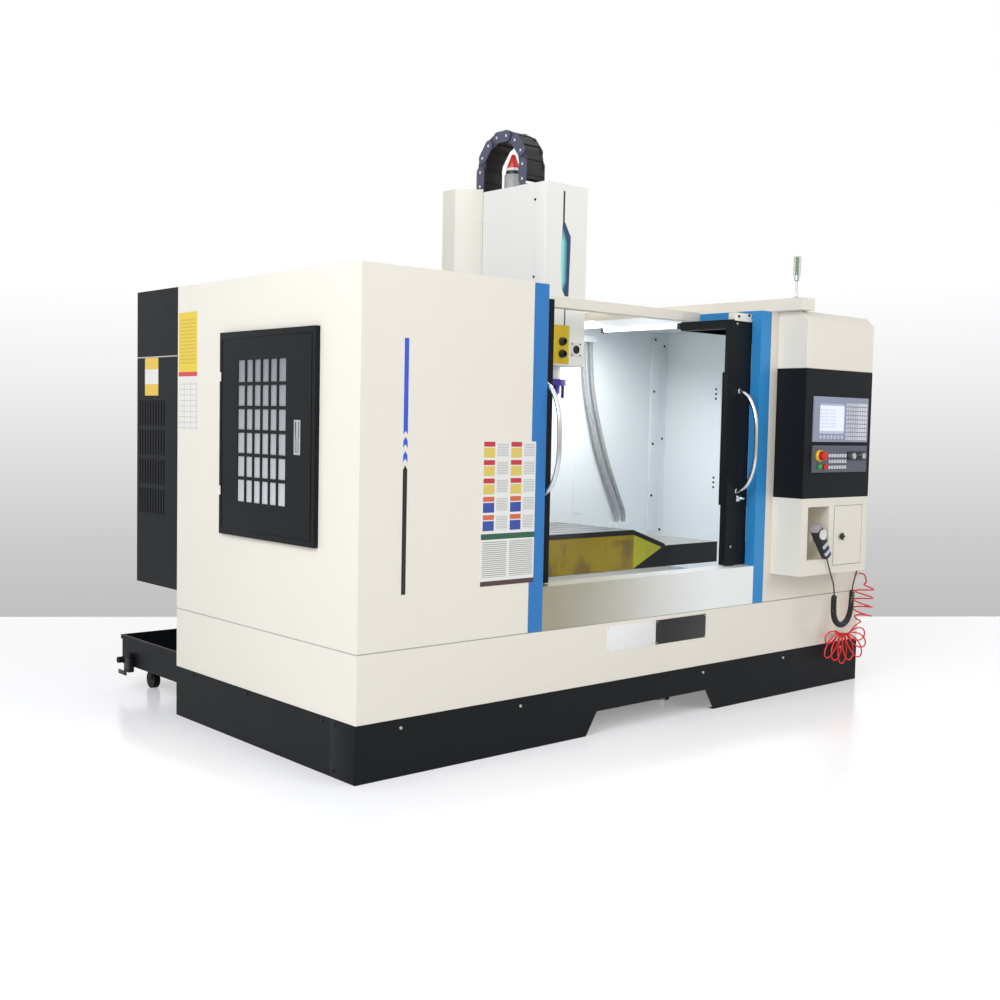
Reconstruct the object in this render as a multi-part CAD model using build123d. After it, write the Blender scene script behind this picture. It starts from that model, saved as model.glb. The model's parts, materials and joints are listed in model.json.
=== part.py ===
from build123d import *
import os
from math import cos, pi, radians, sin, sqrt, tan

# CNC vertical machining centre: open roof, sliding front doors and hinged side windows.
# Millimetres, +Z up. X runs along the front, Y from the front to the back.
# Sizes are taken from the centre plane, the front panel and the floor.
# The last step moves the model so that its origin is the centre of its footprint on the floor.

# Enclosure
enclosure_width = 3430.0
enclosure_depth = 1464.0
skirt_height = 232.0
guard_height = 275.0
cabin_height = 1493.0
sheet = 3.0
flange = 30.0
opening_width = 1483.0
stile_width = 84.0
stile_return = 58.0
stile_flange = 30.0
sill_height = 193.0
sill_depth = 30.0
track_width = 56.0
track_height = 60.0
notch_bottom_width = 905.0
notch_top_width = 770.0
notch_height = 105.0
pan_drop = 140.0
pan_fall = 200.0
hose_boss_radius = 14.0
hose_boss_reach = 24.0
strip_from_stile = 53.5
strip_width = 99.0
strip_bottom = 864.0
strip_height = 889.0
hose_boss_from_side = 247.0
hose_boss_level = 294.0
riser_boss_from_side = 35.0
riser_boss_level = 605.0

# Roof parts
header_front = 400.0
header_depth = 65.0
header_drop = 44.0
header_height = 50.0
roof_lip = 43.0
duct_offset = 9.5
duct_width = 100.0
duct_height = 60.0
lamp_tube_radius = 14.0
lamp_tube_drop = 47.0
lamp_tube_start = 593.0
lamp_tube_length = 594.0
lamp_clip = 30.0

# Front doors
door_inset = 4.0
door_thickness = 40.0
door_width = 790.0
door_gap = 5.0
door_top_gap = 55.0
lead_stile = 163.0
door_margin = 110.0
left_open = 650.0
right_open = 584.0
roof_arm = 45.0
roof_arm_gap = 4.0
pane_thickness = 8.0
handle_radius = 9.0
handle_rise = 70.0
handle_foot_height = 1085.0
handle_length = 500.0
handle_from_edge = 76.0
handle_foot_radius = 14.0
handle_foot_height_out = 16.0
latch_width = 36.0
latch_height = 60.0
latch_depth = 20.0
wheel_radius = 13.0
wheel_width = 20.0
running = 0.3

# Side window doors
window_front = 273.0
window_depth = 764.0
window_bottom = 895.0
window_height = 875.0
window_thickness = 22.0
window_seat = 0.3
window_lap = 26.0
grille_margin_front = 215.0
grille_margin_rear = 165.0
grille_margin_bottom = 151.0
grille_margin_top = 122.0
grille_columns = 6
grille_rows = 6
grille_bar = 14.0
grille_thickness = 5.0
hinge_play = 0.06
window_pin = 5.0
hinge_from_end = 190.0
knuckle = 40.0
knuckle_gap = 0.5
pin_length = 15.0
flush_front = 104.0
flush_bottom = 368.0
flush_width = 40.0
flush_height = 132.0
flush_depth = 12.0

# Bed, column and axes
foot_height = 60.0
foot_radius = 45.0
foot_rows = (320.0, 820.0, 1320.0, 1760.0)
foot_inset = 80.0
bed_half = 500.0
bed_front = 250.0
bed_length = 1600.0
bed_height = 390.0
rail_width = 45.0
rail_height = 38.0
y_rail_half = 300.0
y_rail_length = 990.0
carriage_length = 110.0
carriage_width = 90.0
carriage_gap = 8.0
saddle_gap = 17.0
saddle_height = 185.0
saddle_half = 780.0
saddle_front = 593.0
saddle_depth = 574.0
y_carriage_inset = 115.0
x_rail_half = 190.0
x_carriage_half = 200.0
spindle_y = 830.0
table_front = 600.0
table_width = 560.0
table_length = 1400.0
table_centre_x = -228.0
table_gap = 29.0
table_height = 93.0
slot_count = 5
slot_pitch = 100.0
slot_neck = 18.0
slot_neck_depth = 20.0
slot_base = 30.0
slot_base_depth = 14.0
tray_reach = 405.0
tray_bottom = 640.0
tray_height = 115.0
cover_inset = 90.0
cover_step = 12.0
cover_count = 3
apron_gap = 4.0
apron_drop = 208.0
wing_reach = 257.0
wing_fall = 87.0
column_half = 247.0
column_front = 1250.0
column_step = 40.0
column_step_height = 1100.0
column_foot_rear = 1840.0
column_taper_rear = 1400.0
column_taper_height = 1940.0
column_top_depth = 97.0
column_height = 2050.0
z_rail_half = 140.0
z_rail_bottom = 1180.0
z_rail_length = 1090.0
cover_bottom = 1400.0
cover_top = 2620.0
cover_front = 1144.0
cover_chamfer = 104.0
head_half = 146.0
head_front = 665.0
head_bottom = 1700.0
head_height = 905.0
casting_front = 690.0
casting_height = 520.0
z_plate = 42.0
cartridge_radius = 100.0
cartridge_drop = 140.0
spindle_radius = 64.0
spindle_drop = 70.0
spindle_bore = 13.0
taper_mouth = 22.2
taper_length = 65.0
nozzle_ring_radius = 118.0
nozzle_radius = 8.0
nozzle_length = 62.0
nozzle_count = 6
motor_radius = 85.0
motor_height = 260.0
oil_cup_x = 30.0
oil_cup_y = 1050.0

# Cable chain
chain_radius = 164.0
chain_arch_links = 7
chain_front_links = 1
chain_rear_links = 3
chain_link_height = 58.0
chain_width = 130.0
chain_x = -75.0
chain_plate = 6.0
chain_pin = 7.0
chain_foot = 32.0

# Pendant
pendant_from_stile = 59.5
pendant_width = 600.0
pendant_depth = 180.0
pendant_bottom = 653.0
base_box_height = 397.0
housing_height = 661.0
pendant_chamfer = 47.0
recess_depth = 30.0
bezel = 8.0
unit_left = 67.0
unit_width = 493.0
unit_bottom = 1340.0
unit_height = 232.0
screen_left = 118.0
screen_width = 222.0
screen_bottom = 1383.0
screen_height = 155.0
keys_left = 352.0
keys_bottom = 1350.0
key_columns = 9
key_rows = 9
key_pitch = 22.0
key_size = 17.0
key_rise = 3.0
soft_key_count = 7
panel_left = 67.0
panel_width = 493.0
panel_bottom = 1183.0
panel_height = 139.0
panel_key_rows = 3
panel_key_columns = 7
niche_left = 55.0
niche_width = 187.0
niche_bottom = 733.0
niche_height = 273.0
niche_depth = 150.0
locker_left = 290.0
locker_width = 262.0
locker_bottom = 695.0
locker_height = 311.0
locker_depth = 150.0
locker_lip = 12.0
locker_door_thickness = 15.0
locker_clearance = 1.5
locker_pin = 3.5
locker_knob_place = (356.0, 845.0)
locker_knob_radius = 13.0
estop_place = (123.0, 1269.0)
start_place = (118.0, 1213.0)
stop_place = (165.0, 1213.0)
knob_block_left = 376.0
knob_block_width = 171.0
knob_places = ((412.0, 1268.0), (505.0, 1268.0))
knob_block_height = 40.0
knob_block_rise = 4.0
estop_head_radius = 22.0
estop_reach = 42.0
button_radius = 11.0
button_rise = 9.0
button_travel = 4.0
knob_radius = 16.0
knob_height = 17.0
stem_radius = 4.0
stem_length = 22.0
shaft_play = 0.05

# Handset
handset_length = 200.0
handset_width = 72.0
handset_depth = 60.0
handset_tilt = 34.5
handset_place = (143.0, 842.0)
handset_stand_out = 42.0
handset_peg = 40.0
handset_dial_radius = 26.0
handset_dial_height = 9.0
handset_crank = 9.0
relief_radius = 8.0
relief_length = 22.0

# Electrical cabinet, coolant tank and signal tower
cabinet_width = 1150.0
cabinet_depth = 421.0
cabinet_bottom = 590.0
cabinet_door_thickness = 20.0
cabinet_pin = 4.5
louvre_bottom = 934.0
louvre_height = 120.0
louvre_rows = 4
louvre_row_pitch = 141.0
louvre_front = 132.0
louvre_columns = 10
louvre_pitch = 28.0
louvre_width = 9.0
cabinet_handle_bottom = 1139.0
cabinet_handle_height = 134.0
tank_inset = 60.0
tank_width = 1080.0
tank_depth = 716.0
tank_bottom = 125.0
tank_height = 150.0
tank_wall = 4.0
tank_rim = 22.0
caster_radius = 45.0
caster_width = 34.0
drain_radius = 16.0
tower_from_front = 80.0
tower_pole_radius = 8.0
tower_pole_height = 90.0
lamp_height = 124.0
lamp_radius = 30.0

# Hoses
lead_radius = 4.0
curl_radius = 16.0
cord_front = 11.0
cord_side = 12.0
gland_height = 30.0
gland_bottom = 800.0
coil_half_width = 210.0
coil_half_height = 130.0
coil_hole = 0.4
coil_thickness = 76.0
coil_offset = 32.0
coil_drop = 54.0
air_hose_radius = 4.0
riser_radius = 58.0
riser_stand_off = 4.0
flush_radius = 13.0
flush_pitch = 62.0

# Levels and planes that follow from the sizes above
half_width = enclosure_width / 2
seam_level = skirt_height + guard_height
roof_level = seam_level + cabin_height
opening_half = opening_width / 2
stile_outer = opening_half + stile_width
sill_level = seam_level + sill_height
header_bottom = roof_level - header_drop
door_front = stile_return + door_inset
door_rear = door_front + door_thickness
door_bottom = sill_level + door_gap
door_top = roof_level - door_top_gap
bed_top = foot_height + bed_height
bed_rear = bed_front + bed_length
saddle_bottom = bed_top + rail_height + saddle_gap
saddle_top = saddle_bottom + saddle_height
saddle_rear = saddle_front + saddle_depth
table_bottom = saddle_top + rail_height + table_gap
table_top = table_bottom + table_height
table_rear = table_front + table_width
table_left = table_centre_x - table_length / 2
table_right = table_centre_x + table_length / 2
head_top = head_bottom + head_height
nose_bottom = head_bottom - cartridge_drop - spindle_drop
duct_left = stile_outer + duct_offset
pendant_left = stile_outer + pendant_from_stile
pendant_right = pendant_left + pendant_width
housing_bottom = pendant_bottom + base_box_height
housing_top = housing_bottom + housing_height
cabinet_front = enclosure_depth
cabinet_rear = cabinet_front + cabinet_depth
cabinet_top = roof_level
duct_top = roof_level + duct_height
tank_front = enclosure_depth
tank_rear = tank_front + tank_depth
tray_half = saddle_half + tray_reach
hose_boss_x = half_width - hose_boss_from_side
riser_boss_x = half_width - riser_boss_from_side
dial_reach = handset_stand_out + running + handset_dial_height + handset_crank
front_reach = pendant_depth + max(bezel + estop_reach, dial_reach)
footprint_centre_y = (tank_rear - front_reach) / 2
AXES = {"x": (1, 0, 0), "y": (0, 1, 0), "z": (0, 0, 1)}


def block(x, y, z):
    """Box between two planes on each axis."""
    size = [high - low for low, high in (x, y, z)]
    middle = [(low + high) / 2 for low, high in (x, y, z)]
    return Pos(*middle) * Box(*size)


def prism(points, axis, low, high):
    """Closed outline in the two other axes, drawn out along one axis."""
    places = {"x": lambda a, b: (low, a, b), "y": lambda a, b: (a, low, b), "z": lambda a, b: (a, b, low)}
    corners = [places[axis](a, b) for a, b in points]
    face = make_face(Polyline(*corners, close=True))
    return extrude(face, amount=high - low, dir=AXES[axis])


def rod(axis, start, radius, length):
    """Round bar from a start point along one axis."""
    seat = Plane(origin=start, z_dir=AXES[axis])
    return seat * Cylinder(radius, length, align=(Align.CENTER, Align.CENTER, Align.MIN))


def flip(shape):
    """Mirror image across the machine's centre plane."""
    return mirror(shape, about=Plane.YZ)


def together(shapes):
    """Several pieces as one shape."""
    whole = shapes[0]
    for shape in shapes[1:]:
        whole = whole + shape
    return whole


def both_sides(shape):
    """A shape and its mirror image."""
    return shape + flip(shape)


def tube_along(points, radius, name=""):
    """Round cord through points, each corner rounded as far as its two runs allow."""
    radii = []
    corners = [Vector(*point) for point in points]
    for before, here, after in zip(corners, corners[1:], corners[2:]):
        turn = (here - before).get_angle(after - here)
        run = min((here - before).length, (after - here).length)
        radii.append(0.45 * run / tan(radians(turn / 2)))
    path = FilletPolyline(*points, radius=radii)
    seat = Plane(origin=corners[0], z_dir=corners[1] - corners[0])
    solid = sweep(seat * Circle(radius), path=path)
    if name:
        print(name, "smallest radius", round(min(radii), 1), "for diameter", 2 * radius)
        print(name, "length", round(path.length, 1), "volume ratio", round(solid.volume / (pi * radius ** 2 * path.length), 4))
    return solid


def save(name, shape):
    """Write one piece in the machine's own frame."""
    os.makedirs("parts", exist_ok=True)
    moved = Pos(0, -footprint_centre_y, 0) * shape
    moved.label = name
    export_step(moved, "parts/" + name + ".step")


# Enclosure: skirt, lower guard, cabins, stiles, sill and back wall

def base_skirt():
    """Folded black base with a rolled edge on the floor and fork openings at the front."""
    outer = block((-half_width, half_width), (0, enclosure_depth), (0, skirt_height))
    well = block((-half_width + sheet, half_width - sheet), (sheet, enclosure_depth - sheet), (0, skirt_height))
    ring = outer - well
    inner = block((-half_width + flange, half_width - flange), (flange, enclosure_depth - flange), (0, sheet))
    foot_edge = block((-half_width, half_width), (0, enclosure_depth), (0, sheet)) - inner
    ring = ring + foot_edge + Pos(0, 0, skirt_height - sheet) * foot_edge
    notch = [(-notch_bottom_width / 2, 0), (notch_bottom_width / 2, 0)]
    notch += [(notch_top_width / 2, notch_height), (-notch_top_width / 2, notch_height)]
    ring -= prism(notch, "y", 0, flange + 1)
    return ring - block((-bed_half, bed_half), (enclosure_depth - flange - 1, enclosure_depth), (0, skirt_height))


def lower_guard():
    """Cream band over the skirt with the sloped chip pan inside it."""
    level = (skirt_height, seam_level)
    ring = block((-half_width, half_width), (0, enclosure_depth), level)
    ring -= block((-half_width + sheet, half_width - sheet), (sheet, enclosure_depth - sheet), level)
    top_edge = block((-half_width, half_width), (0, enclosure_depth), (seam_level - sheet, seam_level))
    top_edge -= block((-half_width + flange, half_width - flange), (flange, enclosure_depth - flange), level)
    ring = ring + top_edge
    ring -= block((-bed_half, bed_half), (enclosure_depth - flange - 1, enclosure_depth), (skirt_height, bed_top))
    column_rear = (enclosure_depth - flange - 1, enclosure_depth)
    ring -= block((-column_half, column_half), column_rear, (bed_top, seam_level))
    low = seam_level - pan_fall
    high = low + pan_drop
    slope = [(bed_half, low), (half_width - sheet, high)]
    slope += [(half_width - sheet, high + sheet), (bed_half, low + sheet)]
    pan = both_sides(prism(slope, "y", sheet, enclosure_depth - sheet))
    pan += block((-bed_half, bed_half), (sheet, bed_front), (low, low + sheet))
    ring += pan
    seat = (hose_boss_x, -hose_boss_reach, hose_boss_level)
    return ring + rod("y", seat, hose_boss_radius, hose_boss_reach)


def right_cabin():
    """Right cabin: front panel, side wall with the window opening, roof with a folded lip."""
    level = (seam_level, roof_level)
    shell = block((stile_outer, half_width), (0, sheet), level)
    shell += block((half_width - sheet, half_width), (0, enclosure_depth), level)
    shell += block((opening_half, half_width), (0, enclosure_depth), (roof_level - sheet, roof_level))
    lip = (roof_level - roof_lip, roof_level)
    wall_front = enclosure_depth - sheet
    shell += block((opening_half, opening_half + sheet), (header_front, wall_front), lip)
    foot = block((stile_outer, half_width), (0, flange), (seam_level, seam_level + sheet))
    foot += block((half_width - flange, half_width), (0, wall_front), (seam_level, seam_level + sheet))
    shell += foot
    window = (window_front + window_lap, window_front + window_depth - window_lap)
    height = (window_bottom + window_lap, window_bottom + window_height - window_lap)
    shell -= block((half_width - sheet, half_width), window, height)
    return shell + window_knuckles()


def window_axis():
    """Place of the side window's hinge line on the right side."""
    middle = window_thickness / 2
    return half_width + window_seat + middle, window_front + window_depth - middle


def hinge_levels():
    """Lower ends of the two knuckles of a side window."""
    low = window_bottom + hinge_from_end - knuckle / 2
    high = window_bottom + window_height - hinge_from_end - knuckle / 2
    return low, high


def window_knuckles():
    """Fixed half of each side hinge: barrel, foot on the wall and a pin above and below."""
    x, y = window_axis()
    radius = window_thickness / 2
    fixed = None
    for level in hinge_levels():
        barrel = rod("z", (x, y, level), radius, knuckle)
        barrel += block((half_width, x), (y - radius, y + radius), (level, level + knuckle))
        barrel += rod("z", (x, y, level - pin_length), window_pin, knuckle + 2 * pin_length)
        fixed = barrel if fixed is None else fixed + barrel
    return fixed


def right_cabin_with_boss():
    """Right cabin with the air hose's upper fitting on its front."""
    seat = (riser_boss_x, -hose_boss_reach, riser_boss_level)
    return right_cabin() + rod("y", seat, hose_boss_radius, hose_boss_reach)


def right_stile():
    """Blue channel beside the opening, its return carried back along the roof's edge."""
    level = (seam_level, roof_level - sheet)
    channel = block((opening_half, stile_outer), (0, sheet), level)
    channel += block((opening_half, opening_half + sheet), (0, stile_return), level)
    channel += block((stile_outer - sheet, stile_outer), (0, stile_flange), level)
    lip = (roof_level - roof_lip, roof_level - sheet)
    return channel + block((opening_half, opening_half + sheet), (0, header_front), lip)


def front_sill():
    """Folded sill plate and the door track behind the front panels."""
    outline = [(0, seam_level), (sheet, seam_level), (sheet, sill_level - sheet)]
    outline += [(stile_return, sill_level - sheet), (stile_return, sill_level), (0, sill_level)]
    plate = prism(outline, "x", -opening_half, opening_half)
    track = (sill_level - track_height, sill_level)
    rail = block((-half_width + sheet, half_width - sheet), (stile_return, stile_return + track_width), track)
    return plate + rail


def header_beam():
    """Hollow box beam across the open roof."""
    outer = (header_front, header_front + header_depth)
    level = (header_bottom, header_bottom + header_height)
    beam = block((-opening_half, opening_half), outer, level)
    inner = (header_front + sheet, header_front + header_depth - sheet)
    hollow = (header_bottom + sheet, header_bottom + header_height - sheet)
    return beam - block((-opening_half, opening_half), inner, hollow)


def back_wall():
    """Rear sheet with a slot that fits round the column, and its vertical seam strip."""
    inside = half_width - sheet
    wall = (enclosure_depth - sheet, enclosure_depth)
    sheeting = block((-inside, inside), wall, (seam_level, roof_level - sheet))
    slot_top = roof_level - 2 * roof_lip
    sheeting -= block((-column_half, column_half), wall, (seam_level, slot_top))
    strip_left = stile_outer + strip_from_stile
    strip_level = (strip_bottom, strip_bottom + strip_height)
    strip = block((strip_left, strip_left + strip_width), (wall[0] - sheet, wall[0]), strip_level)
    return sheeting + strip + flush_clips()


def flush_route(index):
    """Route of one flush hose down the back wall."""
    y = enclosure_depth - sheet - 28
    shift = index * flush_pitch
    return [(915 + shift, y, 1900), (940 + shift, y, 1600), (1055 + shift, y, 1230), (1245 + shift, y, 800)]


def flush_clips():
    """Unions on the back wall that hold both ends of the flush hoses."""
    top = flush_route(0)[0]
    end = flush_route(0)[-1]
    wide = flush_pitch + 4 * flush_radius
    depth = (top[1] - 2 * flush_radius, enclosure_depth - sheet)
    upper = block((top[0] - 2 * flush_radius, top[0] - 2 * flush_radius + wide), depth, (top[2], top[2] + 34))
    lower = block((end[0] - 2 * flush_radius, end[0] - 2 * flush_radius + wide), depth, (end[2] - 40, end[2]))
    return upper + lower


def flush_hose(index):
    """One hose, ending on the level faces of its two unions."""
    top, second, third, end = flush_route(index)
    above = (top[0], top[1], top[2] - 60)
    below = (end[0], end[1], end[2] + 60)
    return tube_along([top, above, second, third, below, end], flush_radius)


def cable_duct():
    """Closed duct on the right cabin's roof that reaches over the pendant."""
    return block((duct_left, duct_left + duct_width), (-pendant_depth, enclosure_depth), (roof_level, duct_top))


def work_light():
    """Tube lamp under the right roof edge with a clip at each end."""
    x = stile_outer
    z = roof_level - lamp_tube_drop
    end = lamp_tube_start + lamp_tube_length
    lamp = rod("y", (x, lamp_tube_start, z), lamp_tube_radius, lamp_tube_length)
    for y in (lamp_tube_start, end - lamp_clip):
        foot = block((x - lamp_clip / 2, x + lamp_clip / 2), (y, y + lamp_clip), (z, roof_level - sheet))
        lamp += foot + rod("y", (x, y, z), lamp_tube_radius + 3, lamp_clip)
    return lamp


# Front doors

def sliding_door(side, open_edge):
    """Door leaf with a window opening, a roof tray that hangs back to the beam, and rollers."""
    lead = open_edge
    rear = lead + door_width
    thick = (door_front, door_rear)
    leaf = block((lead, rear), thick, (door_bottom, door_top))
    leaf -= block(*pane_space(lead))
    arm_end = header_front - roof_arm_gap
    leaf += block((lead, lead + roof_arm), (door_rear, arm_end), (door_top - roof_arm, door_top))
    leaf += block((lead, rear), (door_rear, arm_end), (door_top - sheet, door_top))
    leaf += block((lead, rear), (arm_end - sheet, arm_end), (door_top - roof_arm, door_top))
    middle = (door_front + door_rear - wheel_width) / 2
    for x in (lead + lead_stile / 2, rear - lead_stile / 2):
        leaf += rod("y", (x, middle, sill_level + running + wheel_radius), wheel_radius, wheel_width)
    return leaf if side > 0 else flip(leaf)


def pane_space(lead):
    """Opening of a front door's window."""
    across = (lead + lead_stile, lead + door_width - door_margin)
    return across, (door_front, door_rear), (door_bottom + door_margin, door_top - door_margin)


def sliding_pane(side, open_edge):
    """Clear pane held in the middle of the door's thickness."""
    across, thick, up = pane_space(open_edge)
    middle = sum(thick) / 2
    pane = block(across, (middle - pane_thickness / 2, middle + pane_thickness / 2), up)
    return pane if side > 0 else flip(pane)


def bow_handle(side, open_edge, latch):
    """Bowed round bar on two feet, with a latch box at its lower foot on the right door."""
    x = open_edge + handle_from_edge
    low = (x, door_front, handle_foot_height)
    high = (x, door_front, handle_foot_height + handle_length)
    crown = (x, door_front - handle_rise, handle_foot_height + handle_length / 2)
    path = ThreePointArc(low, crown, high)
    seat = Plane(origin=low, z_dir=path % 0)
    bar = sweep(seat * Circle(handle_radius), path=path)
    bar -= block((x - 30, x + 30), (door_front, door_rear), (low[2] - 40, high[2] + 40))
    for point in (low, high):
        bar += rod("y", (x, door_front - handle_foot_height_out, point[2]), handle_foot_radius, handle_foot_height_out)
    if latch:
        across = (x - latch_width / 2, x + latch_width / 2)
        level = (low[2] - latch_height / 2, low[2] + latch_height / 2)
        bar += block(across, (door_front - latch_depth, door_front), level)
    return bar if side > 0 else flip(bar)


# Side window doors

def side_window(level_gap=knuckle_gap):
    """Leaf with a grille of bars, a rounded hinge edge and notches for the knuckles."""
    x, y = window_axis()
    radius = window_thickness / 2
    level = (window_bottom, window_bottom + window_height)
    leaf = block((x - radius, x + radius), (window_front, y), level)
    leaf += rod("z", (x, y, window_bottom), radius, window_height)
    across, up = grille_space()
    leaf -= block((x - radius, x + radius), across, up)
    bar_depth = (x + radius - grille_thickness, x + radius)
    column_pitch = (across[1] - across[0]) / grille_columns
    row_pitch = (up[1] - up[0]) / grille_rows
    for column in range(1, grille_columns):
        middle = across[0] + column * column_pitch
        leaf += block(bar_depth, (middle - grille_bar / 2, middle + grille_bar / 2), up)
    for row in range(1, grille_rows):
        middle = up[0] + row * row_pitch
        leaf += block(bar_depth, across, (middle - grille_bar / 2, middle + grille_bar / 2))
    for bottom in hinge_levels():
        space = (bottom - level_gap, bottom + knuckle + level_gap)
        leaf -= block((x - radius, x + radius), (y - 1.3 * radius, y + radius), space)
        hole = knuckle + 2 * pin_length + 4
        leaf -= rod("z", (x, y, bottom - pin_length - 2), window_pin + hinge_play, hole)
    return leaf - block(*flush_space())


def grille_space():
    """Opening of a side window in its leaf."""
    across = (window_front + grille_margin_front, window_front + window_depth - grille_margin_rear)
    up = (window_bottom + grille_margin_bottom, window_bottom + window_height - grille_margin_top)
    return across, up


def side_pane():
    """Pane behind the grille, flush with the back of the leaf's frame."""
    across, up = grille_space()
    outer = half_width + window_seat + window_thickness - grille_thickness
    return block((outer - pane_thickness, outer), across, up)


def flush_space():
    """Pocket in the leaf for the flush handle."""
    outer = half_width + window_seat + window_thickness
    front = window_front + flush_front
    bottom = window_bottom + flush_bottom
    return (outer - flush_depth, outer), (front, front + flush_width), (bottom, bottom + flush_height)


def flush_handle():
    """Dished handle plate with a lip that lies on the leaf and a finger grip in the dish."""
    depth, across, up = flush_space()
    lip = 4.0
    cup = block(depth, across, up)
    rim = (across[0] - lip, across[1] + lip), (up[0] - lip, up[1] + lip)
    cup += block((depth[1], depth[1] + 2), *rim)
    dish = (across[0] + lip, across[1] - lip), (up[0] + lip, up[1] - lip)
    cup -= block((depth[0] + 2, depth[1] + 2), *dish)
    grip = (up[0] + flush_height / 2, up[1] - lip)
    return cup + block((depth[0] + 2, depth[1] + 1), (across[0] + 3 * lip, across[1] - 3 * lip), grip)


# Bed, feet, rails and column

def bed():
    """Casting with a channel for the drive screw between its rails and pockets in its sides."""
    outline = [(-bed_half, foot_height), (bed_half, foot_height), (bed_half, bed_top), (-bed_half, bed_top)]
    casting = prism(outline, "y", bed_front, bed_rear)
    channel = y_rail_half - rail_width * 2
    casting -= block((-channel, channel), (bed_front, column_front), (bed_top - 90, bed_top))
    pocket_length = (bed_length - 5 * 80) / 4
    for index in range(4):
        start = bed_front + 80 + index * (pocket_length + 80)
        pocket = block((bed_half - 40, bed_half), (start, start + pocket_length), (foot_height + 50, foot_height + 200))
        casting -= both_sides(pocket)
    return casting


def levelling_feet():
    """Levelling pads under the bed, each a disc with a screw head collar."""
    feet = []
    for y in foot_rows:
        for x in (-bed_half + foot_inset, bed_half - foot_inset):
            pad = rod("z", (x, y, 0), foot_radius, foot_height / 2)
            feet.append(pad + rod("z", (x, y, foot_height / 2), foot_radius * 0.6, foot_height / 2))
    return together(feet)


def column():
    """Tapered casting with a recess between its vertical rails."""
    top = bed_top + column_height
    flange_top = bed_top + 70
    outline = [(column_front + column_step, bed_top), (column_foot_rear, bed_top), (column_foot_rear, flange_top)]
    outline += [(column_foot_rear - column_step, flange_top + column_step)]
    outline += [(column_taper_rear, column_taper_height), (column_front + column_top_depth, column_taper_height)]
    outline += [(column_front + column_top_depth, top), (column_front, top)]
    outline += [(column_front, column_step_height + column_step), (column_front + column_step, column_step_height)]
    casting = prism(outline, "x", -column_half, column_half)
    recess = z_rail_half - rail_width
    recess_bottom = column_step_height + 2 * column_step
    casting -= block((-recess, recess), (column_front, column_front + column_step), (recess_bottom, top - 60))
    for low in (bed_top + 150, bed_top + 480):
        window = block((-column_half, column_half), (column_front + 150, column_front + 330), (low, low + 230))
        casting -= window
    return casting


def guide_rails():
    """Two rails along the bed and two up the column."""
    rails = []
    y_end = bed_front + 12 + y_rail_length
    for x in (-y_rail_half, y_rail_half):
        across = (x - rail_width / 2, x + rail_width / 2)
        rails.append(rail_bar(across, (bed_front + 12, y_end), bed_top))
    for x in (-z_rail_half, z_rail_half):
        up = (z_rail_bottom, z_rail_bottom + z_rail_length)
        across = (x - rail_width / 2, x + rail_width / 2)
        rails.append(block(across, (column_front - rail_height, column_front), up))
    return together(rails)


def rail_bar(across, along, bottom):
    """One horizontal rail."""
    return block(across, along, (bottom, bottom + rail_height))


def column_cover():
    """Folded cover round the column: chamfered front corners, sides, back and a cap."""
    level = (cover_bottom, cover_top - sheet)
    rear = column_front + column_top_depth + sheet
    inner = column_half
    outer = inner + sheet
    front_x = outer - cover_chamfer
    wall = [(front_x, cover_front), (outer, cover_front + cover_chamfer), (outer, rear)]
    back = sheet * sqrt(2)
    wall += [(inner, rear), (inner, cover_front + cover_chamfer + back - sheet), (front_x, cover_front + back)]
    side = both_sides(prism(wall, "z", *level))
    cap_outline = [(front_x, cover_front), (outer, cover_front + cover_chamfer), (outer, rear)]
    cap_outline += [(-outer, rear), (-outer, cover_front + cover_chamfer), (-front_x, cover_front)]
    cap = prism(cap_outline, "z", level[1], cover_top)
    chain_side = chain_width / 2 + 5
    chain_rear = chain_centre_y() + chain_radius + chain_link_height / 2 + 5
    cap -= block((chain_x - chain_side, chain_x + chain_side), (cover_front, chain_rear), (level[1], cover_top))
    closing = block((-outer, outer), (rear - sheet, rear), (column_taper_height + 70, cover_top - sheet))
    return side + cap + closing


# Saddle, table and trays

def carriage(across, length_centre, rail_bottom, top):
    """Block that rides on a rail along Y."""
    low = (length_centre - carriage_length / 2, length_centre + carriage_length / 2)
    shoe = block((across - carriage_width / 2, across + carriage_width / 2), low, (rail_bottom + carriage_gap, top))
    groove = (across - rail_width / 2 - running, across + rail_width / 2 + running)
    return shoe - block(groove, low, (rail_bottom, rail_bottom + rail_height + running))


def saddle():
    """Saddle casting with four shoes below and two rails on top."""
    outline = [(-saddle_half, saddle_top), (saddle_half, saddle_top)]
    outline += [(saddle_half, saddle_top - 70), (y_rail_half + 130, saddle_bottom)]
    outline += [(-y_rail_half - 130, saddle_bottom), (-saddle_half, saddle_top - 70)]
    casting = prism(outline, "y", saddle_front, saddle_rear)
    for x in (-y_rail_half, y_rail_half):
        for y in (saddle_front + y_carriage_inset, saddle_rear - y_carriage_inset):
            casting += carriage(x, y, bed_top, saddle_bottom)
    for y in x_rail_places():
        along = (y - rail_width / 2, y + rail_width / 2)
        casting += block((-saddle_half, saddle_half), along, (saddle_top, saddle_top + rail_height))
    return casting


def x_rail_places():
    """Middles of the two rails under the table."""
    middle = table_front + table_width / 2
    return middle - x_rail_half, middle + x_rail_half


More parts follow.
